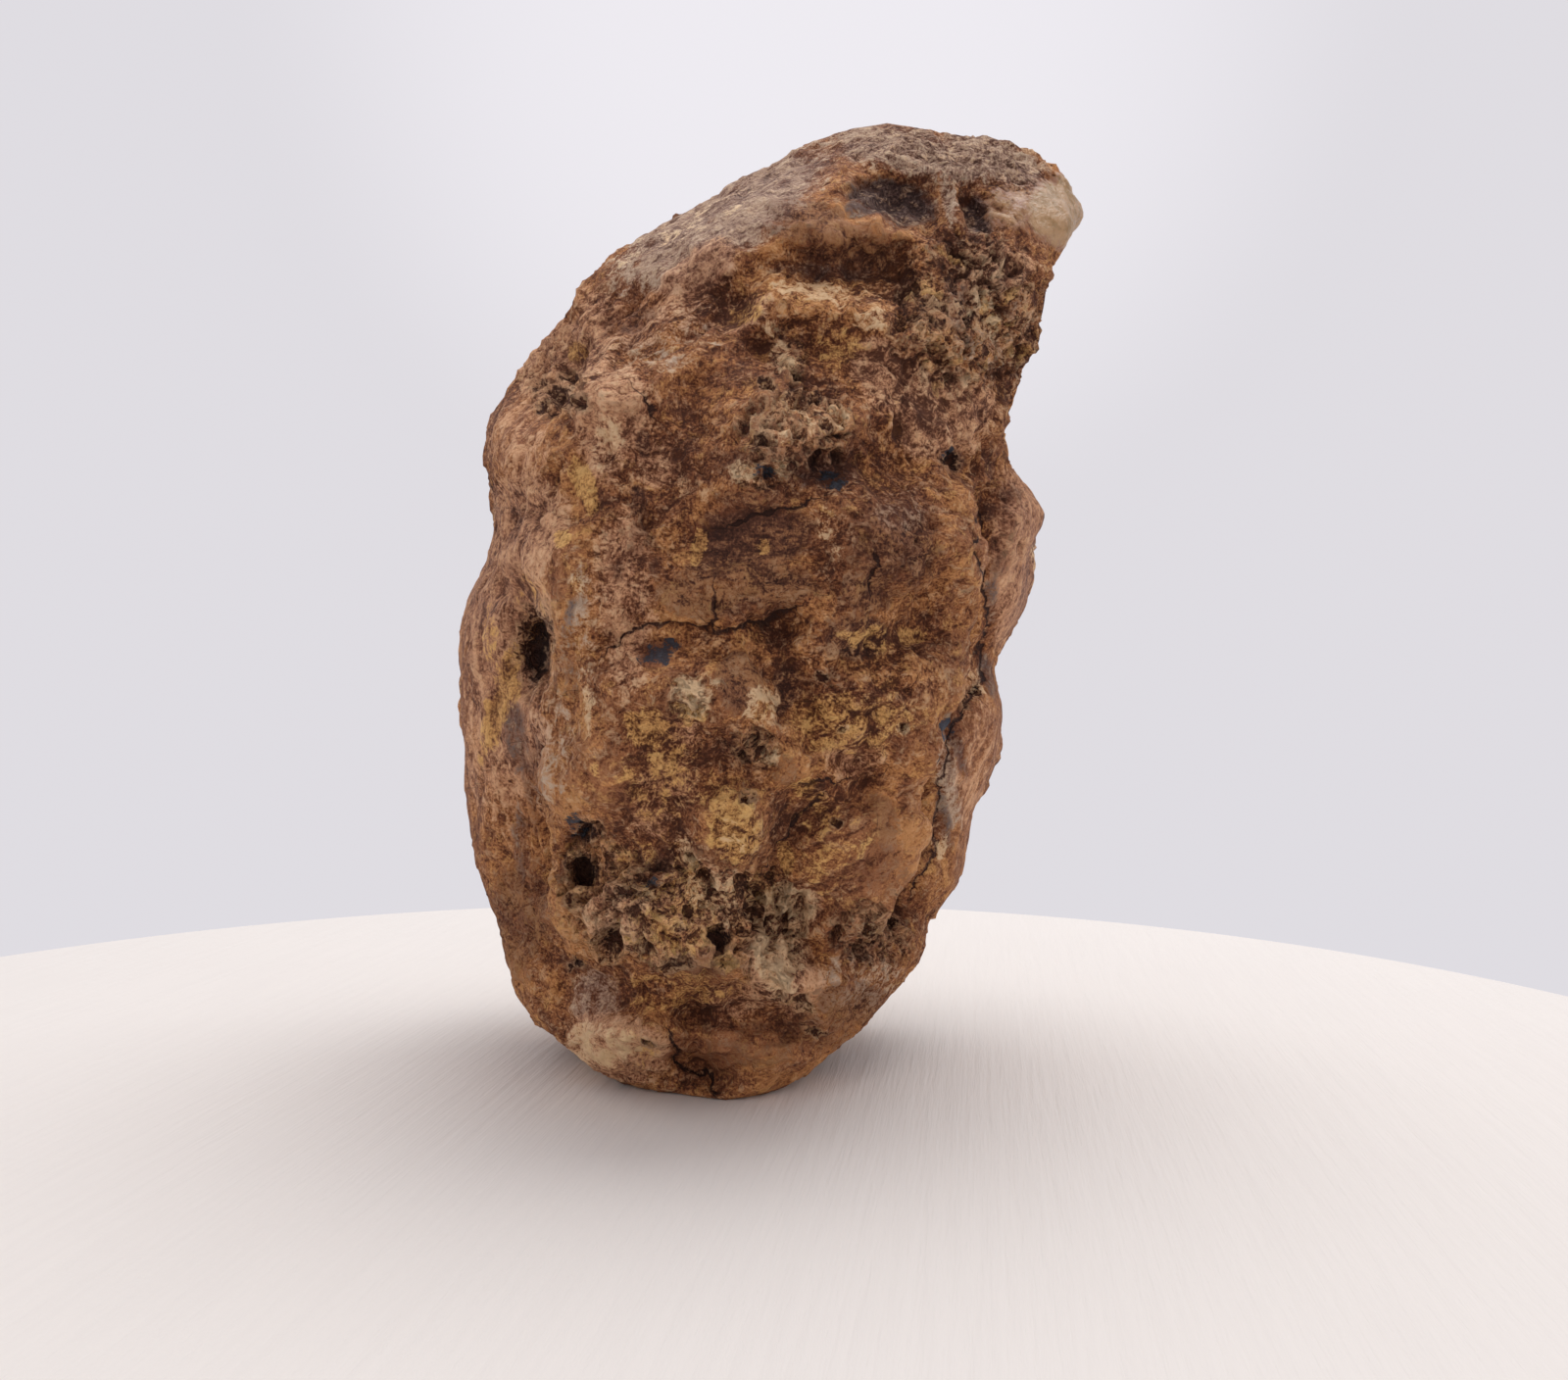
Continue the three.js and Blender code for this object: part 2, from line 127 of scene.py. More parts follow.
# Lumps stand proud over an oval, and hollows sink in: across, up, half across, half up, turn if any, rise.
FRONT_LUMPS = {
    "left upper lobe": (-34, 83, 9, 10, 4.4),
    "pitted hollow over it": (-28, 93, 8, 6.5, 30, -2.4),
    "brow": (5, 110.6, 10, 5.5, -5, 2.2),
    "first hollow by the tip": (15.6, 115.6, 8.6, 5, -12, -6.5),
    "rib between the hollows": (21.4, 114.6, 2.4, 5, 10, 1.6),
    "second hollow by the tip": (25.4, 113.8, 3.6, 4.6, 10, -4),
    "tip": (34, 113.4, 7, 8, 20, 3),
    "lower half of the slab": (-13, 106.4, 9, 4, 34, 2.4),
    "crust boss": (1, 87.5, 14, 11, -20, 4.4),
    "pits in the crust": (2.6, 89.5, 5, 4.4, -2.4),
    "hollow under the crust": (5, 80.4, 10, 5, 5, -4),
    "right flank lump": (20, 97, 8, 9, -20, 3.6),
    "upper right flank lump": (28, 105, 6, 7, 2),
    "right flank hollow": (26, 92, 6, 7, 20, -1.6),
    "notch": (22.5, 81, 5, 4.4, 30, -2),
    "smooth patch": (-3, 72.5, 14, 8, -2.6),
    "belly beside the patch": (12, 71, 11, 9, 2.6),
    "right boss": (15, 52.6, 12, 8, 15, 4.6),
    "middle left boss": (-13, 52, 11, 7, -5, 4),
    "dark hollow": (-4.4, 43.6, 6, 5, -1.8),
    "teardrop hole": (-33, 57.6, 4.4, 7, -8, -6.5),
    "rear left lobe": (-37, 47, 7, 18, 3),
    "left cheek": (-21, 42, 7, 10, -5, 3),
    "pale lobe": (-6.4, 34, 9, 7, -20, 4.4),
    "deep hole": (-25, 31.5, 4.4, 5.6, 5, -3.6),
    "ring lump": (-17, 27, 6.5, 6, 3),
    "ring hole": (-22, 19.6, 4.4, 4.4, -3),
    "round hole": (-9, 20.6, 4.4, 4, -2.2),
    "honeycomb": (-2.4, 25.4, 5.5, 5, -2),
    "crystal crust": (0, 16.6, 6, 7.5, 3),
    "lower right lobe": (11, 31, 9, 12, -15, 3),
    "rimmed hole": (11, 20.6, 5, 4.4, -3),
    "orange bulge": (-20, 7.6, 9, 6, -10, 4.4),
    "toe lobe": (-2.4, 6, 11, 6, 5, 2.6),
}
BACK_LUMPS = {
    "shoulder": (-24, 80, 14, 14, 4.4),
    "knob": (20, 72, 14, 13, 2.2),
    "upper hollow": (12, 88, 9, 7, 30, -3.2),
    "haunch": (-22, 34, 14, 16, 4.6),
    "lower hollow": (-6, 34, 7, 9, -4.2),
    "heel lump": (8, 24, 10, 9, 3.8),
    "hollow under the tip": (26, 104, 8, 9, -4.2),
}
LUMPINESS = [(24, 3.6), (12, 2), (7, 1)]  # size of the lumps over the whole stone, and their rise

# Small holes in the front: across, up, half across, half up, turn if any, depth, height of the rim.
HOLES = [
    (-31.4, 91.6, 1.1, 1, 1.4, 0.2), (-28.6, 90, 1.3, 1.1, 1.5, 0.2), (-27, 92.4, 1, 1, 1.2, 0.2),
    (-30.6, 88.6, 1, 0.9, 1.2, 0.2), (-26.2, 89, 0.9, 0.9, 1.1, 0.2), (1, 92.6, 0.8, 1, 1.1, 0.3),
    (0.4, 88.9, 1, 0.9, 1.2, 0.3), (4.1, 89.6, 0.9, 0.9, 1.1, 0.3), (6.4, 89, 0.6, 0.6, 0.9, 0.3),
    (7.7, 88.2, 0.6, 0.6, 0.9, 0.3), (-5, 86.6, 0.8, 0.9, 1, 0.3), (1.6, 85.7, 0.9, 0.8, 1, 0.3),
    (-2.3, 91.6, 0.8, 1, 0.9, 0.2), (5.3, 86.1, 0.9, 0.6, 0.9, 0.3), (-2.8, 84.8, 0.8, 0.6, 0.9, 0.3),
    (-12.7, 50.2, 0.8, 0.6, 0.9, 0.3), (-10.8, 50.7, 0.6, 0.6, 0.9, 0.3), (7.7, 47.4, 0.5, 0.5, 0.8, 0.2),
    (15.3, 47.3, 0.6, 0.6, 1, 0.5), (24.5, 52.7, 0.6, 0.6, 0.9, 0.3), (23.1, 51.5, 0.5, 1, 20, 0.8, 0.2),
    (6.8, 35.1, 0.5, 0.5, 0.7, 0.2), (-4.5, 38.4, 0.9, 0.9, 1.1, 0.5), (-25.5, 34.4, 1, 1, 1.8, 0.2),
    (-23.7, 34.8, 0.6, 0.8, 1.3, 0.2), (-25.4, 29.9, 1.6, 2.1, 2, 0.3), (-26.1, 25.9, 1.3, 1.1, 1.1, 0.5),
    (-20.1, 27, 1.3, 1, 1.1, 0.5), (-18.7, 23.8, 1, 0.9, 0.9, 0.4), (-22.2, 20.7, 1.9, 1.8, 2, 0.6),
    (-8.4, 21, 1.5, 1.5, 1.6, 0.5), (-7.3, 17.4, 1, 0.9, 1, 0.3), (-11.4, 31.6, 1, 0.9, 1.1, 0.4),
    (-8.7, 26.7, 1.4, 1.1, 1.5, 0.5), (-3.5, 26.1, 0.9, 0.8, 1.3, 0.3), (-4.4, 24.1, 0.8, 0.8, 1.2, 0.3),
    (-13.6, 17.7, 1.8, 1.1, 1.8, 0.3), (-26.4, 17.2, 1.6, 0.5, 1.2, 0.2),
    (1.9, 11.8, 1.8, 0.6, -20, 1.2, 0.2), (3.6, 9, 1.3, 0.5, -20, 1, 0.2), (10.5, 22.1, 1, 0.9, 1.1, 0.5),
    (11, 20, 0.5, 0.5, 0.8, 0.3), (13.2, 22.7, 0.6, 0.6, 0.9, 0.3), (14.7, 20.6, 0.6, 0.5, 0.9, 0.3),
    (-17.4, 7, 0.8, 0.6, 1, 0.3), (21.5, 81.8, 0.8, 0.9, 1, 0.2), (-31.8, 58, 1.9, 4.2, -6, 2.6, 0.1),
    (-4, 46.4, 0.9, 0.8, 1.1, 0.3), (-3, 44.2, 0.9, 0.8, 1.1, 0.3), (-5.8, 44.2, 0.8, 0.6, 0.9, 0.3),
    (-16.1, 17.2, 0.9, 0.8, 0.9, 0.3), (-18.2, 20.3, 0.8, 0.8, 0.9, 0.3), (-12.6, 24.1, 0.9, 0.8, 1, 0.4),
    (5, 54.2, 0.9, 0.6, 0.8, 0.2),
]

# Cracks and wrinkles of the front: half width, depth, points of the line.
CRACKS = {
    "seam under the ledge": (0.7, 1.1, [(-21.8, 58.1), (-20.5, 59.4), (-17.6, 60.4), (-12.6, 60.4),
                                        (-8.9, 59.9), (-6.1, 60), (-2.1, 60.6), (0.8, 62.2)]),
    "top of the smooth patch": (0.6, 0.8, [(-6.3, 73.7), (-1.3, 75.3), (3.3, 76.8)]),
    "joint in the ledge": (0.5, 0.7, [(-9, 64.5), (-8.9, 59.9)]),
    "joint in the right edge": (0.6, 0.9, [(11.8, 69.2), (11.5, 65.4)]),
    "short upper crack": (0.5, 0.7, [(-18.7, 90.1), (-16.8, 87.8)]),
    "toe crack": (0.8, 1, [(-14.6, 8.4), (-12.6, 4.1), (-9.3, 2.9), (-9, 0.5)]),
    "wrinkle": (0.8, 0.4, [(2.5, 40.4), (5.8, 40.9)]),
    # Along the right groove the crack is also painted dark as painted shadow where the front face hides the
    # rear lobe.
    "right groove": (1.1, 0.8, [(24.8, 75), (25.7, 69), (26.2, 62), (25.3, 54.2), (21.9, 47.9),
                                (20.1, 40.4), (19.6, 32.9), (16.9, 27.2)]),
    "valley floor": (0.9, 0.6, [(4.6, 38.6), (2.5, 36.6), (0, 32.9), (-1.8, 30.7)]),
}

# Where the skin is riddled with small cavities, smooth or knobbly: ovals as for the lumps, with a
# strength for the rise.
VUGGY = [
    (-29, 90.6, 5, 4, 0.7), (1.5, 85.6, 9, 7, 0.9), (0.5, 95.5, 3, 5, 15, 0.8), (-3, 80.5, 5, 2.8, 0.8),
    (23.2, 100.7, 12.6, 12.6, 15, 0.8), (-12.6, 24.1, 18.8, 8.3, 1), (-23.6, 27.9, 6.8, 8.8, 0.8),
    (11.3, 21, 6.3, 5, 0.9), (-4, 44.8, 4.3, 3.8, 0.9), (-12.3, 51.5, 4.5, 4.3, 0.8),
    (20, 119, 8, 2.5, -15, 0.4), (-1.9, 16.6, 5, 6.3, 0.6), (-20.1, 73, 7.5, 11.3, 0.35),
    (12.6, 70.5, 8.8, 7.5, 0.3), (8.8, 53, 13.8, 7.5, 0.3), (28.9, 73, 3.8, 7.5, 0.45),
    (-10, 41.7, 13.8, 6.3, 0.35),
]
SMOOTH = [
    (-4.3, 71.8, 8.8, 5.5, 0.8), (-34.1, 84.8, 5.3, 7, 0.8), (-38.9, 52.4, 5.3, 24, 0.9),
    (29.5, 69.3, 4.5, 12.6, 0.5), (23.8, 40.4, 4.5, 15.1, 0.6), (11.7, 32.9, 8.8, 11.3, -20, 0.75),
    (-3.8, 5.9, 12.6, 4.8, 0.7), (-24.2, 12.8, 4.5, 4.3, 0.8), (-7.5, 113.8, 20.1, 7.8, 34, 0.95),
    (-35, 56, 8, 26, 0.7), (30.5, 68, 6, 13, 1), (25.5, 38, 6, 19, 1), (8, 110.5, 8, 4.5, -8, 0.7),
    (-18, 102, 10, 4, 30, 0.6), (-10, 93, 9, 7, 30, 0.4), (-22.6, 40.8, 2.8, 3.5, 0.7),
    (-16.1, 57.2, 2.8, 2.3, 1), (33.9, 113.7, 5.5, 5.3, 1),
]
KNOBBLY = [
    (22.5, 99, 13, 14, 15, 1), (17, 88, 7, 9, 20, 0.5), (9, 53, 14, 7, 5, 0.45), (-13, 24, 16, 8, 0.6),
    (3, 101, 11, 3, -8, 0.8), (-1, 18, 4.4, 7.3, 10, 0.8), (-6.2, 34.4, 4, 4, -15, 0.7),
]

# Where the skin's grain runs one way: upright, rising to the right, or level.
GRAIN_TURNS = {"upright": 90, "rising": 33, "level": 0}
GRAINS = {
    "upright": [
        (-33, 52, 9, 42, 1), (-20, 68, 6, 16, 0.6), (8, 110.5, 9, 4.5, -8, 1), (28.5, 68, 5, 12, 0.7),
        (24, 40, 5, 16, 0.8), (27, 98, 7, 10, 15, 0.5), (-8, 114.5, 20, 8, 34, 0.45),
    ],
    "rising": [(-14, 101, 17, 9, 35, 1), (-8, 114.5, 20, 8, 34, 0.4), (11, 34, 11, 12, 1)],
    "level": [(0, 66, 22, 9, 0.8), (12, 56, 14, 6, 0.8), (-3, 5.5, 14, 5, 0.7)],
}

# Stains and crusts of the front, by colour.
STAINS = {
    "pale": [
        (-10, 113, 10, 1.6, 27, 0.3), (-13.8, 115.7, 6.3, 1.1, 35, 0.3), (-20.1, 107.9, 5, 1.1, 40, 0.3),
        (5.8, 103.4, 8.3, 1.6, -6, 0.65), (11.3, 99.9, 3.2, 2, 0.6), (-0.5, 95.9, 1.5, 6, 25, 0.7),
        (1.5, 86.8, 8.3, 4.2, -5, 0.33), (-5, 80.6, 2.5, 2, 0.8), (-0.5, 81.1, 1.5, 1.3, 0.8),
        (6, 72.3, 2, 4.3, 10, 0.55), (-11.8, 52, 3.7, 3.7, 0.85), (-2.9, 49.9, 3, 3.5, 0.55),
        (-2.1, 43.7, 1.8, 1.5, 0.8), (-6, 33.9, 3.5, 3.6, -15, 0.3), (-12.3, 31.9, 3, 1.6, 0.7),
        (-1, 18.6, 3.2, 5.6, 8, 2.2), (0.6, 24.4, 3.6, 4.4, 1.4), (-6, 24, 2.6, 2.4, 0.7),
        (-23.2, 7, 5.6, 3.4, -8, 0.7), (-22.5, 83.5, 2.6, 4.5, 0.6), (-25.4, 52, 0.9, 7, 5, 0.6),
        (-26.6, 65.9, 1.1, 1.1, 0.7), (15.3, 47.4, 1.3, 1.3, 0.7), (7.5, 47.7, 1.1, 1.1, 0.5),
        (24.5, 54.2, 1.3, 3.3, 15, 0.5), (28.4, 114.7, 1, 4, 0.5), (20.1, 103.2, 1.5, 3.8, 20, 0.1),
        (26.4, 100.7, 2, 4.5, 20, 0.45), (26.5, 106.6, 3, 2, 0.5), (25.1, 108.2, 2, 2, 0.5),
        (10.5, 22.1, 1.8, 1.8, 0.45), (-17.6, 25.9, 1.8, 1.8, 0.45), (-8.2, 27.1, 5.5, 4.3, 0.4),
        (20.1, 32.6, 1.3, 2, 0.6),
    ],
    "ochre": [
        (-25.6, 78.6, 1.7, 4.2, 22, 1.1), (-28.4, 71.9, 1.3, 1.5, 0.8), (-26.7, 95.8, 1.5, 1.5, 0.8),
        (-10.9, 71.2, 1.2, 2.6, -15, 0.9), (-2.7, 70.9, 0.9, 1.3, 0.8), (-36.1, 51, 1.8, 8.6, -14, 1.1),
        (-37.6, 59.2, 1.5, 5, 0.5), (0.4, 30.9, 1, 2.1, 1), (-6.2, 34.4, 3.8, 4.2, -15, 0.9),
        (3.1, 39.7, 2.3, 1.5, -20, 0.8), (-7.3, 17.3, 1.5, 1.5, 0.8), (-24.3, 42.2, 0.6, 2, 0.6),
        (7.2, 96.6, 3.5, 3.3, 0.5), (-12.6, 49.2, 3, 1.5, 0.8), (12.6, 59.2, 7.5, 2, 0.35),
        (10, 48.4, 10, 5, 0.5), (-15.5, 41, 7, 7, 0.5), (-17, 47.6, 4.2, 3.4, 0.8),
        (-5.3, 101, 4, 1.8, 20, 0.6), (-8.8, 38.9, 3, 2.3, 0.6), (6.5, 34.1, 6.5, 6, -30, 0.35),
        (11.4, 47.6, 4, 3, 0.6), (-12, 30, 3, 2.6, 0.5), (-19.1, 30.4, 3.8, 5, 0.3),
        (-13.8, 14.1, 11.3, 3.8, 0.3), (-15, 24, 8, 7, 0.45), (-4, 27, 5, 3, 0.45),
        (-21.1, 6.8, 6.5, 4, -8, 0.3), (6.3, 27.2, 6.3, 2.5, -30, 0.3), (-32.6, 63, 3, 6.3, 0.25),
    ],
    "dark": [
        (-17.9, 84.2, 1.2, 2, 0.7), (-18.7, 76.8, 1.2, 2.2, 0.7), (-21.2, 68, 1.2, 2.2, 0.7),
        (-16.6, 68.4, 1.2, 2, 0.7), (-13.8, 82.7, 1, 1.6, 0.6), (0, 54.2, 1.4, 2.6, -10, 0.7),
        (-8, 67.5, 7, 1.8, 0.75), (-12.5, 66, 4, 1.5, 0.6), (6, 90, 6, 1.5, 0.3),
        (-4.3, 72, 8.2, 4.8, 8, 1.1), (-7.5, 63.5, 8, 2.6, 0.7), (-1, 65.5, 6, 4, 0.7),
        (-10, 67.6, 3.6, 1.8, 0.8), (3.5, 81.6, 6.8, 1.8, -4, 0.6), (8, 109.5, 8.5, 3.8, -6, 0.7),
        (14, 71, 7.5, 7, 0.65), (-3, 81.5, 7, 2.6, 0.5), (0.3, 52.7, 1.5, 5, -15, 0.7),
        (-4.3, 44.8, 2.5, 2.3, 0.6), (1.5, 34.8, 2.5, 6.5, -40, 0.4), (-24.8, 34.4, 2, 1.5, 0.8),
        (-25.4, 29.9, 2.3, 2.3, 0.9), (-15.1, 30.7, 2, 2.3, 0.7), (-3, 25.8, 1.9, 1.8, 0.5),
        (-13.6, 17.7, 2.5, 1.8, 0.7), (-26.4, 17.2, 2, 1, 0.8), (-13.6, 6.3, 1.3, 2.5, 0.7),
        (28.9, 77.3, 2, 1.5, 0.6), (26, 75.4, 1.8, 1.5, 0.6), (27.7, 68.6, 1.5, 2, 0.6),
        (21.5, 81.8, 2.3, 1.8, 0.7), (25.1, 103.2, 7.5, 8.8, 15, 0.35), (-20.1, 99.4, 5, 1.5, 30, 0.4),
        (-8.4, 21, 2, 2, 0.7), (-22.3, 20.7, 2.3, 2.3, 0.6), (-2.5, 15.3, 17.6, 2, 0.15),
        (0, 7.8, 13.8, 3.8, 10, 0.5), (10, 20.3, 4.5, 3.8, 0.45), (-6, 53.6, 3.2, 4.2, 1.3),
        (-3.5, 77.2, 6.5, 2, 4, 0.5), (0, 65.6, 14, 2.2, 0.45), (10.5, 65, 4.4, 3, 0.8),
        (-13.5, 65.2, 4.4, 2.8, 0.6), (0, 42, 2.6, 2.6, 0.5), (12, 36, 3.4, 3.6, 0.5),
        (8.8, 12.4, 5, 3, 0.9), (0.5, 112, 3, 2.4, 0.5), (3, 113.6, 5.4, 2.2, -6, 0.8),
        (9, 59.3, 5.2, 3, 1.1), (21, 100.6, 5, 2.4, 1), (-9.6, 17.4, 4.4, 2.6, 0.8), (12, 30, 5, 5, 0.4),
        (-34, 23, 5, 9, 0.55), (-18.2, 70.5, 2.5, 7.5, 0.3), (3.8, 53, 5, 2.5, 0.3),
        (-32, 40.4, 1.5, 8.8, 0.35),
    ],
    "grey": [
        (-7.5, 114.4, 18.8, 6.8, 34, 0.85), (16, 121.4, 14, 3.6, -12, 0.8), (27, 121, 9, 3, -28, 0.9),
        (21.4, 114.6, 1.4, 4, 10, 0.6), (-19.1, 106.4, 6.5, 2.5, 40, 0.5), (-15.1, 96.9, 13.8, 5, 30, 0.35),
        (-24.2, 12.8, 4.3, 4.3, 0.6), (21.4, 40.5, 1.8, 6.5, 8, 0.7), (-10.5, 107, 6, 3, 34, 0.9),
        (26, 106.4, 3.4, 3.6, 0.55), (-25.1, 60.5, 3.8, 11.3, 0.3), (10, 15.3, 7.5, 5, 0.3),
        (-5, 78.1, 25.1, 2.5, 0.15), (-30.1, 45.4, 3, 11.3, 0.35), (26.4, 99.4, 7.5, 11.3, 15, 0.3),
        (15.1, 75.6, 5, 3.8, 0.3),
    ],
    "soot": [
        (-16.6, 57, 2.4, 1.9, 10, 0.62), (-14.9, 58.2, 2, 1, 10, 0.5), (-16.7, 27.9, 1.3, 1.1, 0.45),
        (-26.9, 34.6, 1.6, 2.2, 0.5), (21.4, 47.3, 1.3, 1.8, 0.6), (6, 79.3, 2.6, 1.4, 0.5),
        (21.2, 82.6, 1.2, 1.3, 0.6), (-2.5, 80.6, 1.8, 1.3, 0.45),
    ],
    "flesh": [
        (-1, 18, 4.6, 6.4, 8, 1.3), (-16, 82, 5, 4, 0.5), (31, 58, 3, 5, 0.6), (-14.5, 47.5, 5, 3, 0.6),
        (-15, 40.6, 5, 4, 0.7), (9.5, 44.5, 5, 4, 40, 0.5), (-17, 36.5, 4, 3.5, 0.6),
        (-5, 12.4, 8, 2.4, 0.5), (-11, 30, 3, 3, 0.6), (15, 91.5, 6, 4.5, 0.8),
        (-5.3, 100.8, 4.4, 2.4, 20, 0.9), (1, 12.6, 3, 2.6, 1), (1, 24.5, 4, 4, 1.2), (-11, 26, 12, 5, 0.6),
        (3, 14, 3, 5, 20, 0.6), (-35.5, 58, 6, 24, 1), (-23, 84, 4, 6, 0.8),
        (-20, 89.5, 4.6, 4, 0.6), (-15, 101, 10, 3.2, 25, 0.4), (-10.5, 106, 5.4, 3.4, 34, 1.3),
        (20, 88, 7, 6.5, 1.2), (11.6, 94.7, 3.6, 3.4, 1.3), (-21, 24, 5.6, 4.4, 1), (-33.4, 74, 6, 8, 0.95),
        (27, 106.2, 6, 3.6, 1.1), (-24, 100.5, 4, 4.5, 40, 0.7), (26, 40, 3, 14, 5, 0.5),
        (-34.1, 84.8, 5, 6.5, 0.5), (-28.1, 94.6, 7.5, 5.3, 40, 1.2), (-22.2, 88.6, 6.3, 7, 0.9),
        (30, 68, 4.4, 14, 0.9), (24.6, 42, 3, 14, 5, 0.45), (-21.3, 6.8, 7.5, 4.6, -8, 1.4),
        (-38.9, 46.4, 3, 13.1, 0.4), (-20.5, 64, 4.5, 14, 0.75),
    ],
    # The umber lies in the hollows by the tip, under the crust, in the teardrop hole and along the side
    # grooves: partly the hollows' own purplish brown, partly painted shade where these hollows and grooves
    # lie in shadow.
    "umber_and_painted_shade": [
        (13.6, 115.2, 6.4, 3, -12, 1.1), (10, 116.4, 2.6, 2, -30, 0.6), (24.8, 113, 2.2, 3.4, 10, 0.9),
        (20.5, 110.4, 3.5, 1.4, -20, 0.4), (6, 106, 8.8, 1.2, -4, 0.6), (-31.8, 57.6, 1.9, 4.4, -6, 0.8),
        (4.5, 80.4, 5.5, 2.4, -4, 0.55), (16, 103, 2.4, 3, 20, 0.5), (22, 104, 2, 2.6, 20, 0.4),
        (26.8, 64, 1, 5, 0.5), (26.2, 54.5, 1, 4, 14, 0.6), (22.4, 45.4, 1.1, 5, 16, 0.8),
        (20.6, 36, 1, 5, 6, 0.6), (-34.2, 47, 1.1, 6, 10, 0.6), (-34, 33, 1.1, 7, 0.5),
        (-27.6, 58, 1, 9, 0.35),
    ],
    "quartz": [(35.4, 113.8, 4.8, 5.2, 10, 1.2), (29.6, 114.4, 5.6, 4.4, -10, 0.55)],
}

# On the back the zones are scattered: each is where a broad noise is above this value.
SCATTERED = {
    "vuggy": 0.1, "smooth": -0.1, "knobbly": 0.3, "pale": 0.45, "ochre": 0.15, "dark": 0.1, "grey": 0.0,
    "soot": 0.8, "flesh": 0.1, "upright": 0.0, "rising": 0.1, "level": 0.1, "umber_and_painted_shade": 0.5,
}

SCATTER_SIZE = 15.0  # of that noise's features

# Fine relief of the whole stone: size, height or depth, and what else its sort has.
GRAIN = (4.4, 0.5)
CRESTS = [(2.9, 0.42, 0), (1.7, 0.3, 5)]  # and the noise's shift
STREAKS = (2.6, 0.75)
GRIT_SIZE = 1.5
KNOBS = (2.1, 1.35)
CAVITIES = [(3.4, 1.5, 0.5), (2.1, 1, 0.65), (1.4, 0.6, 0.75)]  # and the share of cells that have one
PORES = (2.7, 0.6, 0.2)  # and the share of cells that have one
MARK_REACH = 3.0  # how far the marks of holes (in half sizes) and of cracks (in millimetres) are kept

# A finish's tones, from painted shade in cavities to painted highlights on raised bits, with its own grain
# between: place on the ramp, share of the middle colour.
TONES = [
    (0.12, (0.26, 0.2, 0.19)), (0.34, (0.58, 0.5, 0.48)), (0.54, (1, 1, 1)), (0.72, (1.32, 1.42, 1.38)),
    (0.98, (1.6, 1.9, 2)),
]
BRIGHTEST = 0.9  # of any channel of a tone
SWIRL = (1.35, 8, 0.76, 0.45)  # the finest pattern: size, detail, roughness, distortion

# The stage.
FLOOR_MIDDLE = (-18.0, -7.0, 0.0)  # from the stone's own middle, in millimetres
FLOOR_EDGE = 1.5 * MM  # radius of the rim's rounding
FLOOR_THICKNESS = 8 * MM
FLOOR_SEGMENTS = 160
STROKE_COLOUR = (0.5, 0.46, 0.44, 1)
GLOW_DIRECTION = (0.02, 0.9, 0.43)  # where the backdrop is a little brighter
GLOW = 0.16
LAMP_PLACE = (0.075, 0.1, 0.55)
LAMP_TURN = (math.radians(-10), math.radians(7.5), 0)
LAMP_SIZE = 0.5


# ---- Arithmetic on whole arrays ----

def smooth_step(values, low, high):
    """0 below low, 1 above high, and a smooth rise between them."""
    share = np.clip((values - low) / (high - low), 0, 1)
    return share * share * (3 - 2 * share)


def hump(share):
    """A round hump's height at a share of its reach: 1 in the middle, 0 from the edge on."""
    return np.clip(1 - share * share, 0, None) ** 2


def smooth_line(places, values, shares):
    """Values between given ones: a cubic through them, whose slopes are those of its neighbours."""
    places = np.asarray(places, float)
    values = np.asarray(values, float).reshape(len(places), -1)
    slopes = np.gradient(values, places, axis=0)
    index = np.clip(np.searchsorted(places, shares, side="right") - 1, 0, len(places) - 2)
    step = places[index + 1] - places[index]
    s = ((shares - places[index]) / step)[..., None]
    step = step[..., None]
    return (
        (2 * s**3 - 3 * s**2 + 1) * values[index]
        + (s**3 - 2 * s**2 + s) * step * slopes[index]
        + (3 * s**2 - 2 * s**3) * values[index + 1]
        + (s**3 - s**2) * step * slopes[index + 1]
    )


def along_outline(points, shares):
    """Points of an outline at shares of its length from the foot."""
    points = np.array(points, float)
    lengths = np.concatenate([[0], np.cumsum(np.hypot(*np.diff(points, axis=0).T))])
    return smooth_line(lengths / lengths[-1], points, shares)


def evened_outline(points, shares):
    """An outline that is averaged over a stretch either side of each share."""
    reach = np.minimum(EVENING, np.minimum(shares, 1 - shares))
    return sum(along_outline(points, shares + step * reach) for step in (-1, -0.5, 0, 0.5, 1)) / 5


def profile(values, shares):
    """Values that are given at equal steps from the foot to the top, at any shares of the way."""
    return smooth_line(np.linspace(0, 1, len(values)), values, shares)[..., 0]


def lattice_value(i, j, k):
    """Whole-number hash of lattice points, as values from -1 to 1."""
    i, j, k = (axis.astype(np.int64).astype(np.uint32) for axis in (i, j, k))
    mixed = i * np.uint32(374761393) ^ j * np.uint32(668265263) ^ k * np.uint32(2147483647)
    mixed = (mixed ^ mixed >> np.uint32(13)) * np.uint32(1274126177)
    mixed ^= mixed >> np.uint32(16)
    return mixed / 2147483647.5 - 1


def noise(points):
    """Smooth noise from -1 to 1: values of the eight corners of each unit cell, blended across it."""
    cell = np.floor(points)
    part = points - cell
    blend = part**3 * (part * (part * 6 - 15) + 10)
    total = 0
    for corner in np.ndindex(2, 2, 2):
        weight = np.prod(np.where(corner, blend, 1 - blend), axis=-1)
        total = total + weight * lattice_value(*np.moveaxis(cell + corner, -1, 0))
    return total


def layered_noise(points, size, layers, fade=0.5):
    """Noise in layers, each about half the size and a share of the height of the one before."""
    return sum(fade**layer * noise(points / size * 2.03**layer + 17.3 * layer) for layer in range(layers))


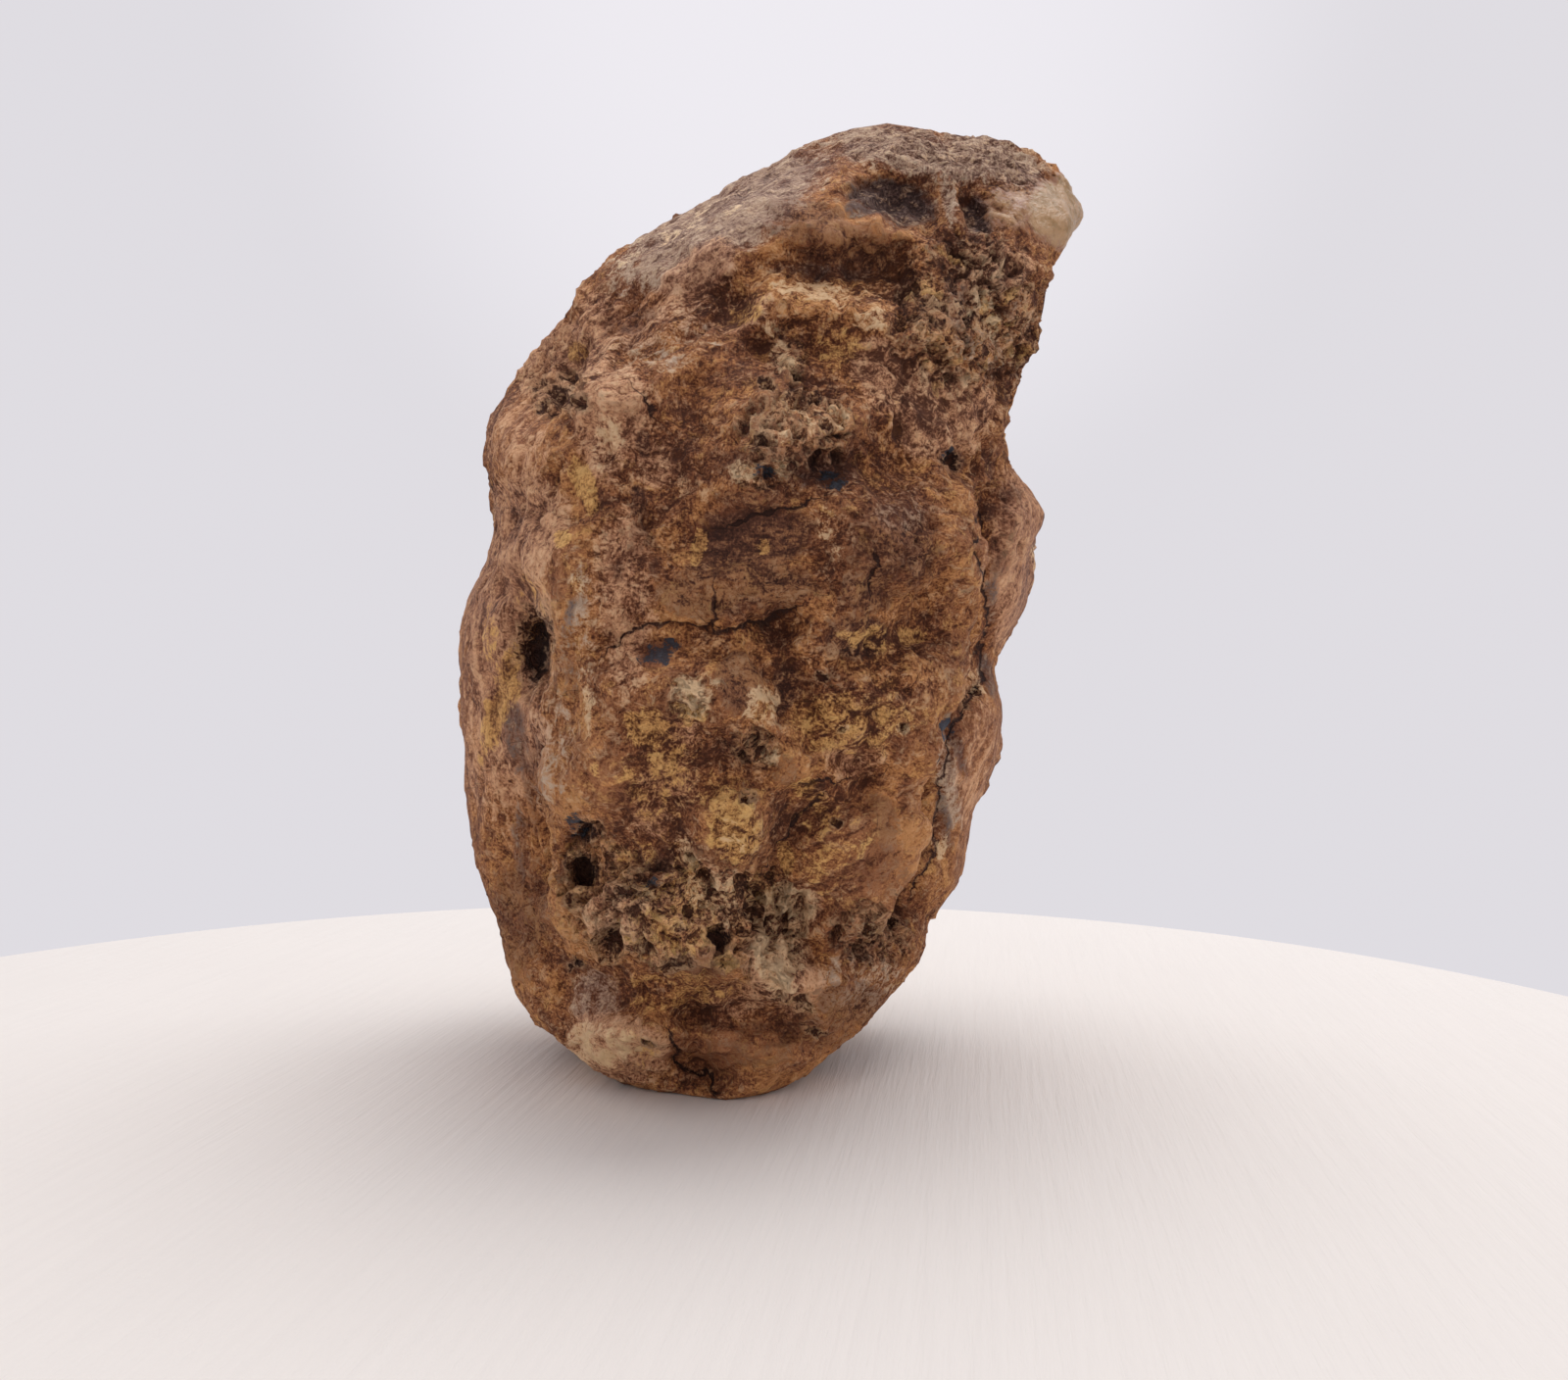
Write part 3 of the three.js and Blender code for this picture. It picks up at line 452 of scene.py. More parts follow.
def cells(points, size):
    """Distance to the nearest of one scattered point per cell, in cells, and its own value, 0 to 1."""
    points = points / size
    cell = np.floor(points)
    nearest = np.full(points.shape[:-1], 9.0)
    own = np.zeros(points.shape[:-1])
    for offset in np.ndindex(3, 3, 3):
        there = cell + offset - 1
        i, j, k = np.moveaxis(there, -1, 0)
        jitter = [lattice_value(i + shift, j - shift, k + 2 * shift) * 0.5 + 0.5 for shift in (71, 139, 211)]
        gap = np.linalg.norm(there + np.stack(jitter, -1) - points, axis=-1)
        closer = gap < nearest
        nearest = np.where(closer, gap, nearest)
        own = np.where(closer, lattice_value(i, j, k) * 0.5 + 0.5, own)
    return nearest, own


def line_offset(across, up, line):
    """Distance from points of the elevation to a line of its points, below nought on the line's right."""
    nearest = np.full(across.shape, np.inf)
    for (from_across, from_up), (to_across, to_up) in zip(line, line[1:]):
        run = np.array([to_across - from_across, to_up - from_up])
        along = ((across - from_across) * run[0] + (up - from_up) * run[1]) / (run @ run)
        along = np.clip(along, 0, 1)
        right, above = across - from_across - along * run[0], up - from_up - along * run[1]
        gap = np.hypot(right, above) * np.where(run[0] * above - run[1] * right < 0, -1, 1)
        nearest = np.where(np.abs(gap) < np.abs(nearest), gap, nearest)
    return nearest


def oval_share(across, up, middle_across, middle_up, half_across, half_up, turn=0):
    """Distance from an oval's middle, as a share of its half size: 1 on its edge."""
    cos, sin = math.cos(math.radians(turn)), math.sin(math.radians(turn))
    right, above = across - middle_across, up - middle_up
    return np.hypot((right * cos + above * sin) / half_across, (above * cos - right * sin) / half_up)


def blots(across, up, ovals):
    """The strongest of some soft-edged ovals at each point."""
    total = np.zeros(across.shape)
    for *oval, strength in ovals:
        total = np.maximum(total, strength * (1 - smooth_step(oval_share(across, up, *oval), 0.45, 1.25)))
    return total


def blurred(field, reach):
    """A grid's field, averaged over a window of cells; it runs round the stone and stops at the poles."""
    wide = np.concatenate([field[:, -reach:], field, field[:, :reach]], axis=1)
    wide = np.pad(wide, ((reach, reach), (0, 0)), mode="edge")
    for axis in (0, 1):
        sums = np.cumsum(wide, axis=axis)
        sums = np.concatenate([np.zeros_like(np.take(sums, [0], axis)), sums], axis=axis)
        size = 2 * reach + 1
        count = sums.shape[axis] - size
        wide = (np.take(sums, range(size, size + count), axis) - np.take(sums, range(count), axis)) / size
    return wide


def sunk_mark(field, reach, depth):
    """How far a grid's field lies below what is round it: 0.5 where it is level, 1 at a depth."""
    return np.clip((blurred(field, reach) - field) / depth, -1, 1) * 0.5 + 0.5


# ---- The stone's surface ----

def place(across, up, depth):
    """Real places of points of the elevation at a depth, each on its own line of sight."""
    scale = 1 + depth / EYE_DISTANCE
    return np.stack([across * scale, depth, EYE_HEIGHT + (up - EYE_UP) * scale], axis=-1)


def normals_of(points):
    """Outward directions of a closed grid of points, from its two runs."""
    round_run = np.roll(points, -1, axis=1) - np.roll(points, 1, axis=1)
    up_run = np.gradient(points, axis=0)
    normals = np.cross(up_run, round_run)
    return normals / np.maximum(np.linalg.norm(normals, axis=-1, keepdims=True), 1e-9)


def broad_relief(across, up, ridges, lumps):
    """How far the ridges and lumps stand proud: the sum of the humps of all."""
    rise = np.zeros(across.shape)
    for reach, height, line in ridges.values():
        rise += height * hump(line_offset(across, up, line) / reach)
    for *oval, height in lumps.values():
        rise += height * hump(oval_share(across, up, *oval))
    return rise


def crests(points):
    """Noise folded at nought, from about -0.6 to 0.4: thin crests between rounded pits."""
    return 0.4 - 2 * np.abs(noise(points))


def streaks(points, turn, size):
    """Noise drawn out along one direction of the elevation, turned from level."""
    cos, sin = math.cos(math.radians(turn)), math.sin(math.radians(turn))
    across, depth, up = np.moveaxis(points, -1, 0)
    run, rise = across * cos + up * sin, up * cos - across * sin
    return layered_noise(np.stack([run * 0.2, depth * 0.6, rise], axis=-1), size, 3, 0.6)


def fine_relief(across, up, base, front, masks):
    """Relief that a fingertip feels: grain, crests, knobs, cavities, holes and cracks, in millimetres.

    Adds the marks of what it raises and sinks to the masks.
    """
    warp = np.stack([layered_noise(base + shift, 5.0, 3) for shift in (0.0, 40.0, 80.0)], axis=-1)
    bent = base + 1.5 * warp
    rough = 1 - 0.85 * masks["smooth"]
    vuggy = masks["vuggy"]

    size, height = GRAIN
    rise = (0.25 + 0.75 * rough) * height * layered_noise(bent, size, 4, 0.6)
    for size, height, shift in CRESTS:
        rise += rough * height * crests(bent / size + shift)
    size, height = STREAKS
    for name, turn in GRAIN_TURNS.items():
        rise += masks[name] * height * streaks(bent, turn, size)
    gap, own = cells(bent, GRIT_SIZE)
    rise += rough * (0.25 + 0.35 * vuggy) * hump(gap / 0.75) * (own - 0.3)
    size, height = KNOBS
    gap, own = cells(bent * (1, 1, 0.6) + 3, size)
    rise += masks["knobbly"] * height * (hump(gap / 0.85) - 0.3) * (0.4 + 0.6 * own)
    masks["knob"] = masks["knobbly"] * (1 - gap)
    masks["knob_own"] = own

    masks["vug"] = np.zeros(across.shape)
    for size, depth, share in CAVITIES:
        gap, own = cells(bent + 9.0 * size, size)
        chosen = smooth_step(vuggy, 0.2, 0.7) * smooth_step(own, 1 - share, 1.04 - share)
        rise += chosen * depth * (0.28 * hump((gap - 0.52) / 0.2) - 1 + smooth_step(gap, 0.14, 0.46))
        masks["vug"] = np.maximum(masks["vug"], chosen * (1 - smooth_step(gap, 0.1, 0.5)))
    size, depth, share = PORES
    gap, own = cells(bent + 31.0, size)
    rise -= rough * depth * (1 - smooth_step(gap, 0.08, 0.27)) * (own > 1 - share)

    wander = 0.5 * np.stack([layered_noise(base + shift, 2.0, 2) for shift in (11.0, 57.0)])
    across, up = across + wander[0], up + wander[1]
    nearest = np.full(across.shape, MARK_REACH)
    for *oval, depth, rim in HOLES:
        share = oval_share(across, up, *oval)
        rise -= front * 0.75 * depth * (1 - smooth_step(share, 0.35, 1.1))
        rise += front * rim * hump((share - 1.3) / 0.5)
        nearest = np.minimum(nearest, share)
    masks["pit"] = np.where(front > 0.5, nearest, MARK_REACH)

    nearest = np.full(across.shape, np.inf)
    for half_width, depth, line in CRACKS.values():
        offset = line_offset(across, up, line)
        rise -= front * 0.6 * depth * hump(offset / half_width)
        nearest = np.where(np.abs(offset) < np.abs(nearest), offset, nearest)
    masks["crack"] = np.where(front > 0.5, np.clip(nearest, -MARK_REACH, MARK_REACH), MARK_REACH)
    return rise


@functools.cache
def stone_grid(columns, rings, front_share):
    """Points of the stone, in millimetres, and its stains, on a grid of rings by columns.

    The broad form is a superellipse section at each share of height, pushed out by the ridges, lumps and
    lumpiness. The fine relief is raised along its normals. What sinks below the ground is flattened on it.
    """
    front_columns = round(columns * front_share)
    turns = np.concatenate([
        np.linspace(0, np.pi, front_columns, endpoint=False),
        np.linspace(np.pi, 2 * np.pi, columns - front_columns, endpoint=False),
    ])
    shares = np.linspace(0, 1, rings + 1)[1:-1]
    turn, share = np.meshgrid(turns, shares)

    left, right = evened_outline(LEFT_OUTLINE, share), evened_outline(RIGHT_OUTLINE, share)
    middle, half = (left + right) / 2, (right - left) / 2
    cos, sin = np.cos(turn), np.sin(turn)
    is_front = sin >= 0
    power = 2 / np.where(is_front, FRONT_FULLNESS, BACK_FULLNESS)
    aside = np.sign(cos) * np.abs(cos) ** power
    forward = np.sign(sin) * np.abs(sin) ** power
    half_length = np.linalg.norm(half, axis=-1)
    bulge = half_length * np.where(is_front, profile(FRONT_BULGE, share), profile(BACK_BULGE, share))
    knob = np.where(
        (aside > 0)[..., None],
        along_outline(RIGHT_OUTLINE, share) - right,
        along_outline(LEFT_OUTLINE, share) - left,
    )
    drawn = middle + aside[..., None] * half + knob * hump(np.abs(forward) / KNOB_REACH)[..., None]
    across, up = drawn[..., 0], drawn[..., 1]
    depth = profile(MIDDLE_DEPTH, share) + profile(WIDEST_SET_BACK, share) * aside**2 - forward * bulge

    facing = smooth_step(np.abs(forward), 0.1, 0.5)
    base = place(across, up, depth)
    rise = facing * np.where(
        is_front,
        broad_relief(across, up, FRONT_RIDGES, FRONT_LUMPS),
        broad_relief(across, up, BACK_RIDGES, BACK_LUMPS),
    )
    for size, most in LUMPINESS:
        rise += most * (0.3 + 0.7 * facing) * noise(base / size)
    calm = smooth_step(half_length, 0, POLE_CALM)
    rise *= calm
    across = across + rise * aside
    broad = place(across, up, depth - rise * forward)

    # On the front the zones are drawn, and elsewhere they are scattered.
    front = smooth_step(forward * (1 + 0.8 * layered_noise(base, 12.0, 2)), -0.75, -0.1)
    scattered = {
        name: smooth_step(layered_noise(base + 13.0 * order, SCATTER_SIZE, 3), low, low + 0.5)
        for order, (name, low) in enumerate(SCATTERED.items())
    }
    scattered["quartz"] = np.zeros(across.shape)
    drawn_zones = {"vuggy": VUGGY, "smooth": SMOOTH, "knobbly": KNOBBLY, **GRAINS, **STAINS}
    masks = {
        name: front * blots(across, up, ovals) + (1 - front) * 0.6 * scattered[name]
        for name, ovals in drawn_zones.items()
    }
    tip = blots(across, up, STAINS["quartz"])
    masks["quartz"] = np.maximum(masks["quartz"], tip * smooth_step(forward, -0.5, 0.0))

    worn_sides = (1 - smooth_step(np.abs(forward), 0.0, 0.45)) * (1 - smooth_step(up, 75, 95))
    fine = calm * (1 - 0.55 * worn_sides) * fine_relief(across, up, base, front, masks)
    points = broad + fine[..., None] * normals_of(broad)
    points[..., 2] = np.maximum(points[..., 2], 0)

    # Marks of fine cavities and broad hollows, which the rock's material paints darker as painted shade.
    masks["cavity"], masks["hollow"] = sunk_mark(rise + fine, 3, 1.2), sunk_mark(rise, 18, 3.5)
    poles = np.array([
        place(*(np.array(value) for value in (*LEFT_OUTLINE[0], MIDDLE_DEPTH[0]))),
        place(*(np.array(value) for value in (*LEFT_OUTLINE[-1], MIDDLE_DEPTH[-1]))),
    ])
    poles[0, 2] = 0
    return points, poles, masks


def grid_faces(columns, rings):
    """Faces of a closed grid whose points are the foot's pole, the rings from below, and the top's pole."""
    column = np.arange(columns)
    after = (column + 1) % columns
    row = 1 + columns * np.arange(rings - 2)[:, None]
    quads = np.stack([row + column, row + columns + column, row + columns + after, row + after], axis=-1)
    last = 1 + columns * (rings - 2)
    top = 1 + columns * (rings - 1)
    foot_fan = np.stack([np.zeros(columns, int), 1 + column, 1 + after], axis=-1)
    top_fan = np.stack([last + column, np.full(columns, top), last + after], axis=-1)
    return foot_fan, quads.reshape(-1, 4), top_fan


def shift_to_origin(points):
    """Shift that centres the stone on the frame's box and stands it on the box's bottom, in millimetres."""
    low, high = points.reshape(-1, 3).min(axis=0), points.reshape(-1, 3).max(axis=0)
    box_low, box_high = (np.array(corner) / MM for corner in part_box("geode"))
    shift = (box_low + box_high - low - high) / 2
    shift[2] = box_low[2]
    return shift


def closed_mesh(name, places, columns, rings):
    """A mesh of a closed grid's places: one pole, its rings and the other pole."""
    mesh = bpy.data.meshes.new(name)
    faces = [face for group in grid_faces(columns, rings) for face in group.tolist()]
    mesh.from_pydata(places.tolist(), [], faces)
    return mesh


def new_object(name, mesh, material):
    """A linked object with its origin at the frame's origin, and its material."""
    piece = bpy.data.objects.new(name, mesh)
    bpy.context.scene.collection.objects.link(piece)
    mesh.materials.append(material)
    return piece


# ---- Materials ----

class Wire:
    """A shader socket: arithmetic on it adds Math nodes to its tree."""

    def __init__(self, tree, socket):
        self.tree, self.socket = tree, socket

    def math(self, operation, *values):
        """The result of a Math node of some values."""
        return self.tree.wire("Math", {"operation": operation}, dict(enumerate(values)))

    def __add__(self, other):
        return self.math("ADD", self, other)

    def __sub__(self, other):
        return self.math("SUBTRACT", self, other)

    def __rsub__(self, other):
        return self.math("SUBTRACT", other, self)

    def __mul__(self, other):
        return self.math("MULTIPLY", self, other)

    def __abs__(self):
        return self.math("ABSOLUTE", self)

    __radd__ = __add__

    def at_least(self, other):
        """The larger of two values."""
        return self.math("MAXIMUM", self, other)

    def step(self, low, high):
        """0 below low, 1 above high, and a smooth rise between them."""
        settings = {"interpolation_type": "SMOOTHSTEP"}
        return self.tree.wire("MapRange", settings, {0: self, 1: low, 2: high, 3: 0.0, 4: 1.0})


class ShaderTree:
    """A material's or world's node tree, emptied, with methods that add nodes."""

    def __init__(self, owner):
        owner.use_nodes = True
        self.nodes, self.links = owner.node_tree.nodes, owner.node_tree.links
        self.nodes.clear()

    def node(self, kind, settings=None, sockets=None):
        """Add a node: its settings are set first, then its sockets' values or links."""
        node = self.nodes.new("ShaderNode" + kind)
        for name, value in (settings or {}).items():
            setattr(node, name, value)
        for name, value in (sockets or {}).items():
            if isinstance(value, Wire):
                self.links.new(value.socket, node.inputs[name])
            else:
                node.inputs[name].default_value = value
        return node

    def wire(self, kind, settings=None, sockets=None, output=0):
        """Add a node and give one of its outputs."""
        return Wire(self, self.node(kind, settings, sockets).outputs[output])

    def attribute(self, name):
        """A number that the mesh carries at its points."""
        return self.wire("Attribute", {"attribute_name": name}, output="Fac")

    def vector(self, operation, first, second):
        """Arithmetic on two vectors."""
        return self.wire("VectorMath", {"operation": operation}, {0: first, 1: second})

    def places(self):
        """Places on the object, in millimetres."""
        return self.vector("MULTIPLY", self.wire("TexCoord", output="Object"), (1 / MM,) * 3)

    def bump(self, height, distance, strength):
        """A normal that follows a height, whose rise from 0 to 1 is a distance in metres."""
        sockets = {"Height": height, "Distance": distance, "Strength": strength}
        return self.wire("Bump", {}, sockets, output="Normal")

    def noise(self, where, size, detail=3.0, roughness=0.55, distortion=0.0):
        """Noise from 0 to 1 with features of a size in millimetres."""
        sockets = {"Vector": where, "Scale": 1 / size, "Detail": detail, "Roughness": roughness,
                   "Distortion": distortion}
        return self.wire("TexNoise", {}, sockets)

    def ramp(self, factor, stops):
        """Colours at given places from 0 to 1, blended between them."""
        node = self.node("ValToRGB", {}, {0: factor})
        elements = node.color_ramp.elements
        while len(elements) < len(stops):
            elements.new(0.5)
        for element, (position, colour) in zip(elements, stops):
            element.position, element.color = position, (*colour, 1)
        return Wire(self, node.outputs[0])

    def mix(self, factor, first, second):
        """Mix of two colours: the first at factor 0, the second at factor 1."""
        return self.wire("Mix", {"data_type": "RGBA"}, {0: factor, 6: first, 7: second}, output=2)


def tones(tree, tone, middle):
    """One finish from painted shade in its cavities to painted highlights on its raised bits: a ramp of tones
    about its middle colour.
    """
    stops = [(position, np.array(middle) * share) for position, share in TONES]
    stops = [(position, colour * min(1, BRIGHTEST / colour.max())) for position, colour in stops]
    return tree.ramp(tone, stops)


def rock_material(look):
    """Iron-stained rock, whose stains follow the mesh's marks, and milky quartz where it has that mark."""
    material = bpy.data.materials.new("stained rock and milky quartz")
    tree = ShaderTree(material)
    where, mark = tree.places(), tree.attribute

    def stain(name, low=0.35, high=0.55, breaks=1.0):
        """An area of the mesh's mark, with a ragged edge and gaps."""
        area = mark(name)
        return (area + ragged * area.step(0.0, 0.3) * breaks).step(low, high)

    def drawn(turn, size):
        """Noise drawn out along one direction of the elevation, turned from level."""
        sockets = {"Vector": where, "Rotation": (0, math.radians(turn), 0)}
        turned = tree.wire("Mapping", {"vector_type": "POINT"}, sockets)
        return tree.noise(tree.vector("MULTIPLY", turned, (0.22, 1, 1)), size, 5.0, 0.7, 0.6) - 0.5

    broad = tree.noise(where, 14.0, 3.0)
    patch = tree.noise(where, 4.5, 6.0, 0.66, 0.8)
    swirl = tree.noise(where, *SWIRL)
    swell = tree.noise(where, 1.35, 5.0, 0.58, 0.45)
    grain = tree.noise(where, 0.35, 4.0, 0.75, 0.2)
    fleck = tree.noise(where, 2.3, 5.0, 0.66, 0.8)
    drawn_out = sum(mark(name) * drawn(turn, 1.1) for name, turn in GRAIN_TURNS.items())
    ragged = (patch - 0.5) * 2.2 + (swirl - 0.5) * 2.2 + (grain - 0.5) * 0.8 + drawn_out * 1.5
    cavity = mark("cavity") - 0.5
    hollow = mark("hollow") - 0.5
    smooth = mark("smooth")
    contrast = 1.0 - smooth * 0.4

    # Small cavities with raised rims, drawn ones and scattered ones, and cracks.
    nudge = (swell - 0.5) * 1.6 + (grain - 0.5) * 0.7
    pit = mark("pit") + nudge * 2.0
    deep = 1 - pit.step(0.4, 1.0)
    sunk = deep
    rim = pit.step(0.8, 1.15) * (1 - pit.step(1.2, 1.7)) * 0.8
    riddled = (mark("vuggy") + (patch - 0.5) * 1.5).step(0.4, 0.7)
    for size in (1.8, 1.05):
        bubble = tree.wire("TexVoronoi", {}, {"Vector": where, "Scale": 1 / size}) + nudge * 0.5
        sunk = sunk.at_least(riddled * (1 - bubble.step(0.16, 0.34)) * 0.9)
        rim = rim.at_least(riddled * bubble.step(0.28, 0.42) * (1 - bubble.step(0.5, 0.65)) * 0.6)
    sunk = sunk.at_least((mark("vug") + nudge).step(0.25, 0.75))
    knobbly, own = mark("knobbly").step(0.1, 0.6), mark("knob_own")
    knob = (mark("knob") + nudge * 0.6 + knobbly * (-0.6)) * knobbly
    crack = 1 - abs(mark("crack") + (swell - 0.5) * 2.0).step(0.05, 0.3)

    # Painted light from above: the fine swirl against the same swirl a little higher, so bits that face up
    # are painted lighter and bits that face down are painted darker.
    painted_top_light = swirl - tree.noise(tree.vector("ADD", where, (-0.12, 0, 0.3)), *SWIRL)
    # Painted light from the floor's bounce: the stone is painted lighter towards its foot.
    painted_floor_bounce = 1 - tree.wire("SeparateXYZ", {}, {"Vector": where}, output="Z").step(5.0, 70.0)
    tone = 0.5 + (swirl - 0.5) * (contrast - abs(drawn_out)) * 2.0
    tone = tone + painted_top_light * contrast * 1.4 + painted_floor_bounce * 0.11 + 0.02
    tone = tone + drawn_out * 2.2 + ((patch - 0.5) * 1.1 + (grain - 0.5) * 2.0) * contrast
    # Painted shade: cavities, broad hollows, pits and holes are painted darker. Cracks are painted darker as
    # dark seams, and along the right groove as painted shadow. Knob tops are painted lighter as painted
    # highlight.
    tone = tone - cavity * 0.5 - hollow * 0.4 + (broad - 0.5) * 0.6 + rim * 0.2
    tone = tone - sunk * 0.2 - deep * 0.2 - crack * 0.5 + knob * 0.9 + knobbly * 0.05 + stain("pale") * 0.26

    finishes = ("rust", "orange", "ochre", "grey", "flesh", "dark", "pale", "umber_and_painted_shade", "soot")
    rust, orange, ochre, grey, flesh, dark, pale, umber_and_painted_shade, soot = (
        tones(tree, tone, getattr(look, name)) for name in finishes
    )
    maroon = (1.0 - broad * 0.3 - patch * 0.7 + (swirl - 0.5) * 0.6).step(0.54, 0.6)
    lit = knob.step(-0.15, 0.15) * knobbly

    # The finishes lie over each other in this order, each on its share of the surface.
    colour = rust
    for share, coat in (
        ((broad * 0.4 + patch * 0.6 + (grain - 0.5) * 0.3).step(0.48, 0.56) * 0.8, orange),
        (maroon * (0.5 - smooth * 0.35), dark),
        ((fleck + (grain - 0.5) * 0.4).step(0.55, 0.66) * contrast * 0.5, ochre),
        (stain("grey", 0.25, 0.75) * 0.85, grey),
        (stain("flesh", 0.2, 0.8) * 0.8, flesh),
        # Cracks and the umber stains get the umber: dark seams and the hollows' own purplish brown, with
        # painted shade in hollows and grooves.
        (crack * 0.7, umber_and_painted_shade),
        (stain("umber_and_painted_shade", 0.15, 0.95) * 0.95, umber_and_painted_shade),
        ((0.97 - fleck + (swirl - 0.5) * 1.5).step(0.54, 0.66) * contrast * 0.35, pale),
        (stain("dark") * (0.95 - tone.step(0.42, 0.75) * 0.4), dark),
        (stain("ochre", 0.3, 0.75, 1.3) * 0.9, ochre),
        (rim * 0.5, tree.mix(patch.step(0.42, 0.55), pale, flesh)),
        (lit * own.step(0.5, 0.65) * 0.4, pale),
        (lit * (1 - own.step(0.2, 0.35)) * 0.6, ochre),
        (stain("pale", 0.45, 0.9, 1.5) * (tone + 0.3).step(0.52, 0.76) * 0.8, pale),
        (stain("soot", 0.3, 0.5, 1.6) * 0.95, soot),
    ):
        colour = tree.mix(share, colour, coat)

    height = (swell * 1.5 + patch * 0.6 + drawn_out * 0.5) * contrast + grain * 0.2
    height = height - sunk * 0.7 + rim * 0.3 - crack * 0.4
    roughness = 0.92 - smooth * 0.2 - stain("soot", 0.4, 0.6) * 0.25 + (swirl - 0.5) * 0.2
    rock = tree.wire("BsdfPrincipled", {}, {
        "Base Color": colour, "Roughness": roughness, "Specular IOR Level": 0.3,
        "Normal": tree.bump(height, MM, 1.0),
    })

    milky = (patch + (fleck - 0.5) + (swell - 0.5) * 0.5).step(0.4, 0.6)
    milky = tree.mix(milky, (*look.quartz, 1), (*look.quartz_pale, 1))
    streaky = drawn(60, 1.6)
    stained = cavity + (swirl - 0.5) * 0.9 + streaky * 1.2 + 0.5 - mark("quartz") * 0.6
    milky = tree.mix(stained.step(0.0, 0.35) * 0.8, milky, (*look.rust, 1))
    height = swell * 0.5 + patch * 0.8 + streaky * 0.6
    quartz = tree.wire("BsdfPrincipled", {}, {
        "Base Color": milky, "Roughness": 0.3, "IOR": 1.54, "Normal": tree.bump(height, MM, 0.8),
        "Subsurface Weight": 0.2, "Subsurface Radius": (1.0, 0.7, 0.45), "Subsurface Scale": 2 * MM,
    })
    skin = tree.wire("MixShader", {}, {
        0: (mark("quartz") + (swirl - 0.5) * 1.2 + (patch - 0.5) + streaky * 0.6).step(0.3, 0.7),
        1: rock, 2: quartz,
    })
    tree.node("OutputMaterial", {}, {"Surface": skin})
    return material


def floor_material(look):
    """Matt white paint, brushed on in long faint strokes."""
    material = bpy.data.materials.new("brushed white paint")
    tree = ShaderTree(material)
    where = tree.places()
    along = tree.wire("Mapping", {"vector_type": "TEXTURE"}, {
        "Vector": where, "Rotation": (0, 0, math.radians(-8)), "Scale": (1.0, 22.0, 1.0),
    })
    strokes = tree.noise(along, 1.3, 4.0, 0.65)
    blotches = tree.noise(where, 40.0, 2.0)
    stroked = (strokes * 0.7 + blotches * 0.3).step(0.35, 0.65) * 0.05
    paint = tree.wire("BsdfPrincipled", {}, {
        "Base Color": tree.mix(stroked, (*look.floor_colour, 1), STROKE_COLOUR),
        "Roughness": 0.85, "Normal": tree.bump(strokes, 0.25 * MM, 0.8),
    })
    tree.node("OutputMaterial", {}, {"Surface": paint})
    return material


# ---- Settings, operators and panel ----

def colour_setting(name, description, default):
    """A colour that a user can change, in linear light."""
    return FloatVectorProperty(name=name, description=description, default=default, size=3, min=0, max=1,
                               subtype="COLOR")


class GeodeStoneSettings(bpy.types.PropertyGroup):
    columns: IntProperty(name="Columns", description="Facets round each section", default=344, min=48)
    rings: IntProperty(name="Rings", description="Steps from the foot to the top", default=289, min=24)
    front_share: FloatProperty(name="Front share", description="Share of the columns on the front",
                               default=0.6, min=0.4, max=0.8, subtype="FACTOR")
    rust: colour_setting("Rust", "Middle tone of the iron-stained rock", (0.30, 0.112, 0.046))
    orange: colour_setting("Orange", "Middle tone of the fresher iron stains", (0.44, 0.178, 0.062))
    ochre: colour_setting("Ochre", "Middle tone of the limonite stains", (0.54, 0.27, 0.09))
    grey: colour_setting("Grey", "Middle tone of the weathered rock", (0.40, 0.26, 0.185))
    flesh: colour_setting("Flesh", "Middle tone of the smooth lobes", (0.51, 0.25, 0.138))
    dark: colour_setting("Dark", "Middle tone of the dark brown rock", (0.145, 0.056, 0.03))
    pale: colour_setting("Pale", "Middle tone of the whitish crust", (0.67, 0.4, 0.222))
    # Partly the hollows' own purplish brown, partly painted shade in hollows and grooves.
    umber_and_painted_shade: colour_setting("Umber", "Middle tone of the purplish brown in deep hollows", (0.115, 0.068, 0.058))
    soot: colour_setting("Soot", "Middle tone of the manganese stains", (0.016, 0.023, 0.036))
    quartz: colour_setting("Quartz", "Yellow-olive milky quartz", (0.33, 0.18, 0.055))
    quartz_pale: colour_setting("Pale quartz", "Pinkish milky quartz", (0.47, 0.27, 0.12))


class GeodeStageSettings(bpy.types.PropertyGroup):
    floor_radius: FloatProperty(name="Floor radius", description="Radius of the round floor", default=0.154,
                                min=0.05, unit="LENGTH")
    floor_colour: colour_setting("Floor", "Matt white floor", (0.83, 0.785, 0.735))
    sky_colour: colour_setting("Backdrop", "Pale light all round", (0.74, 0.72, 0.76))
    sky_front: FloatProperty(name="Front light", description="Share of the backdrop's light from the front",
                             default=0.95, min=0, max=1, subtype="FACTOR")
    lamp_power: FloatProperty(name="Lamp power", description="Power of the broad lamp overhead", default=1.6,
                              min=0, unit="POWER")


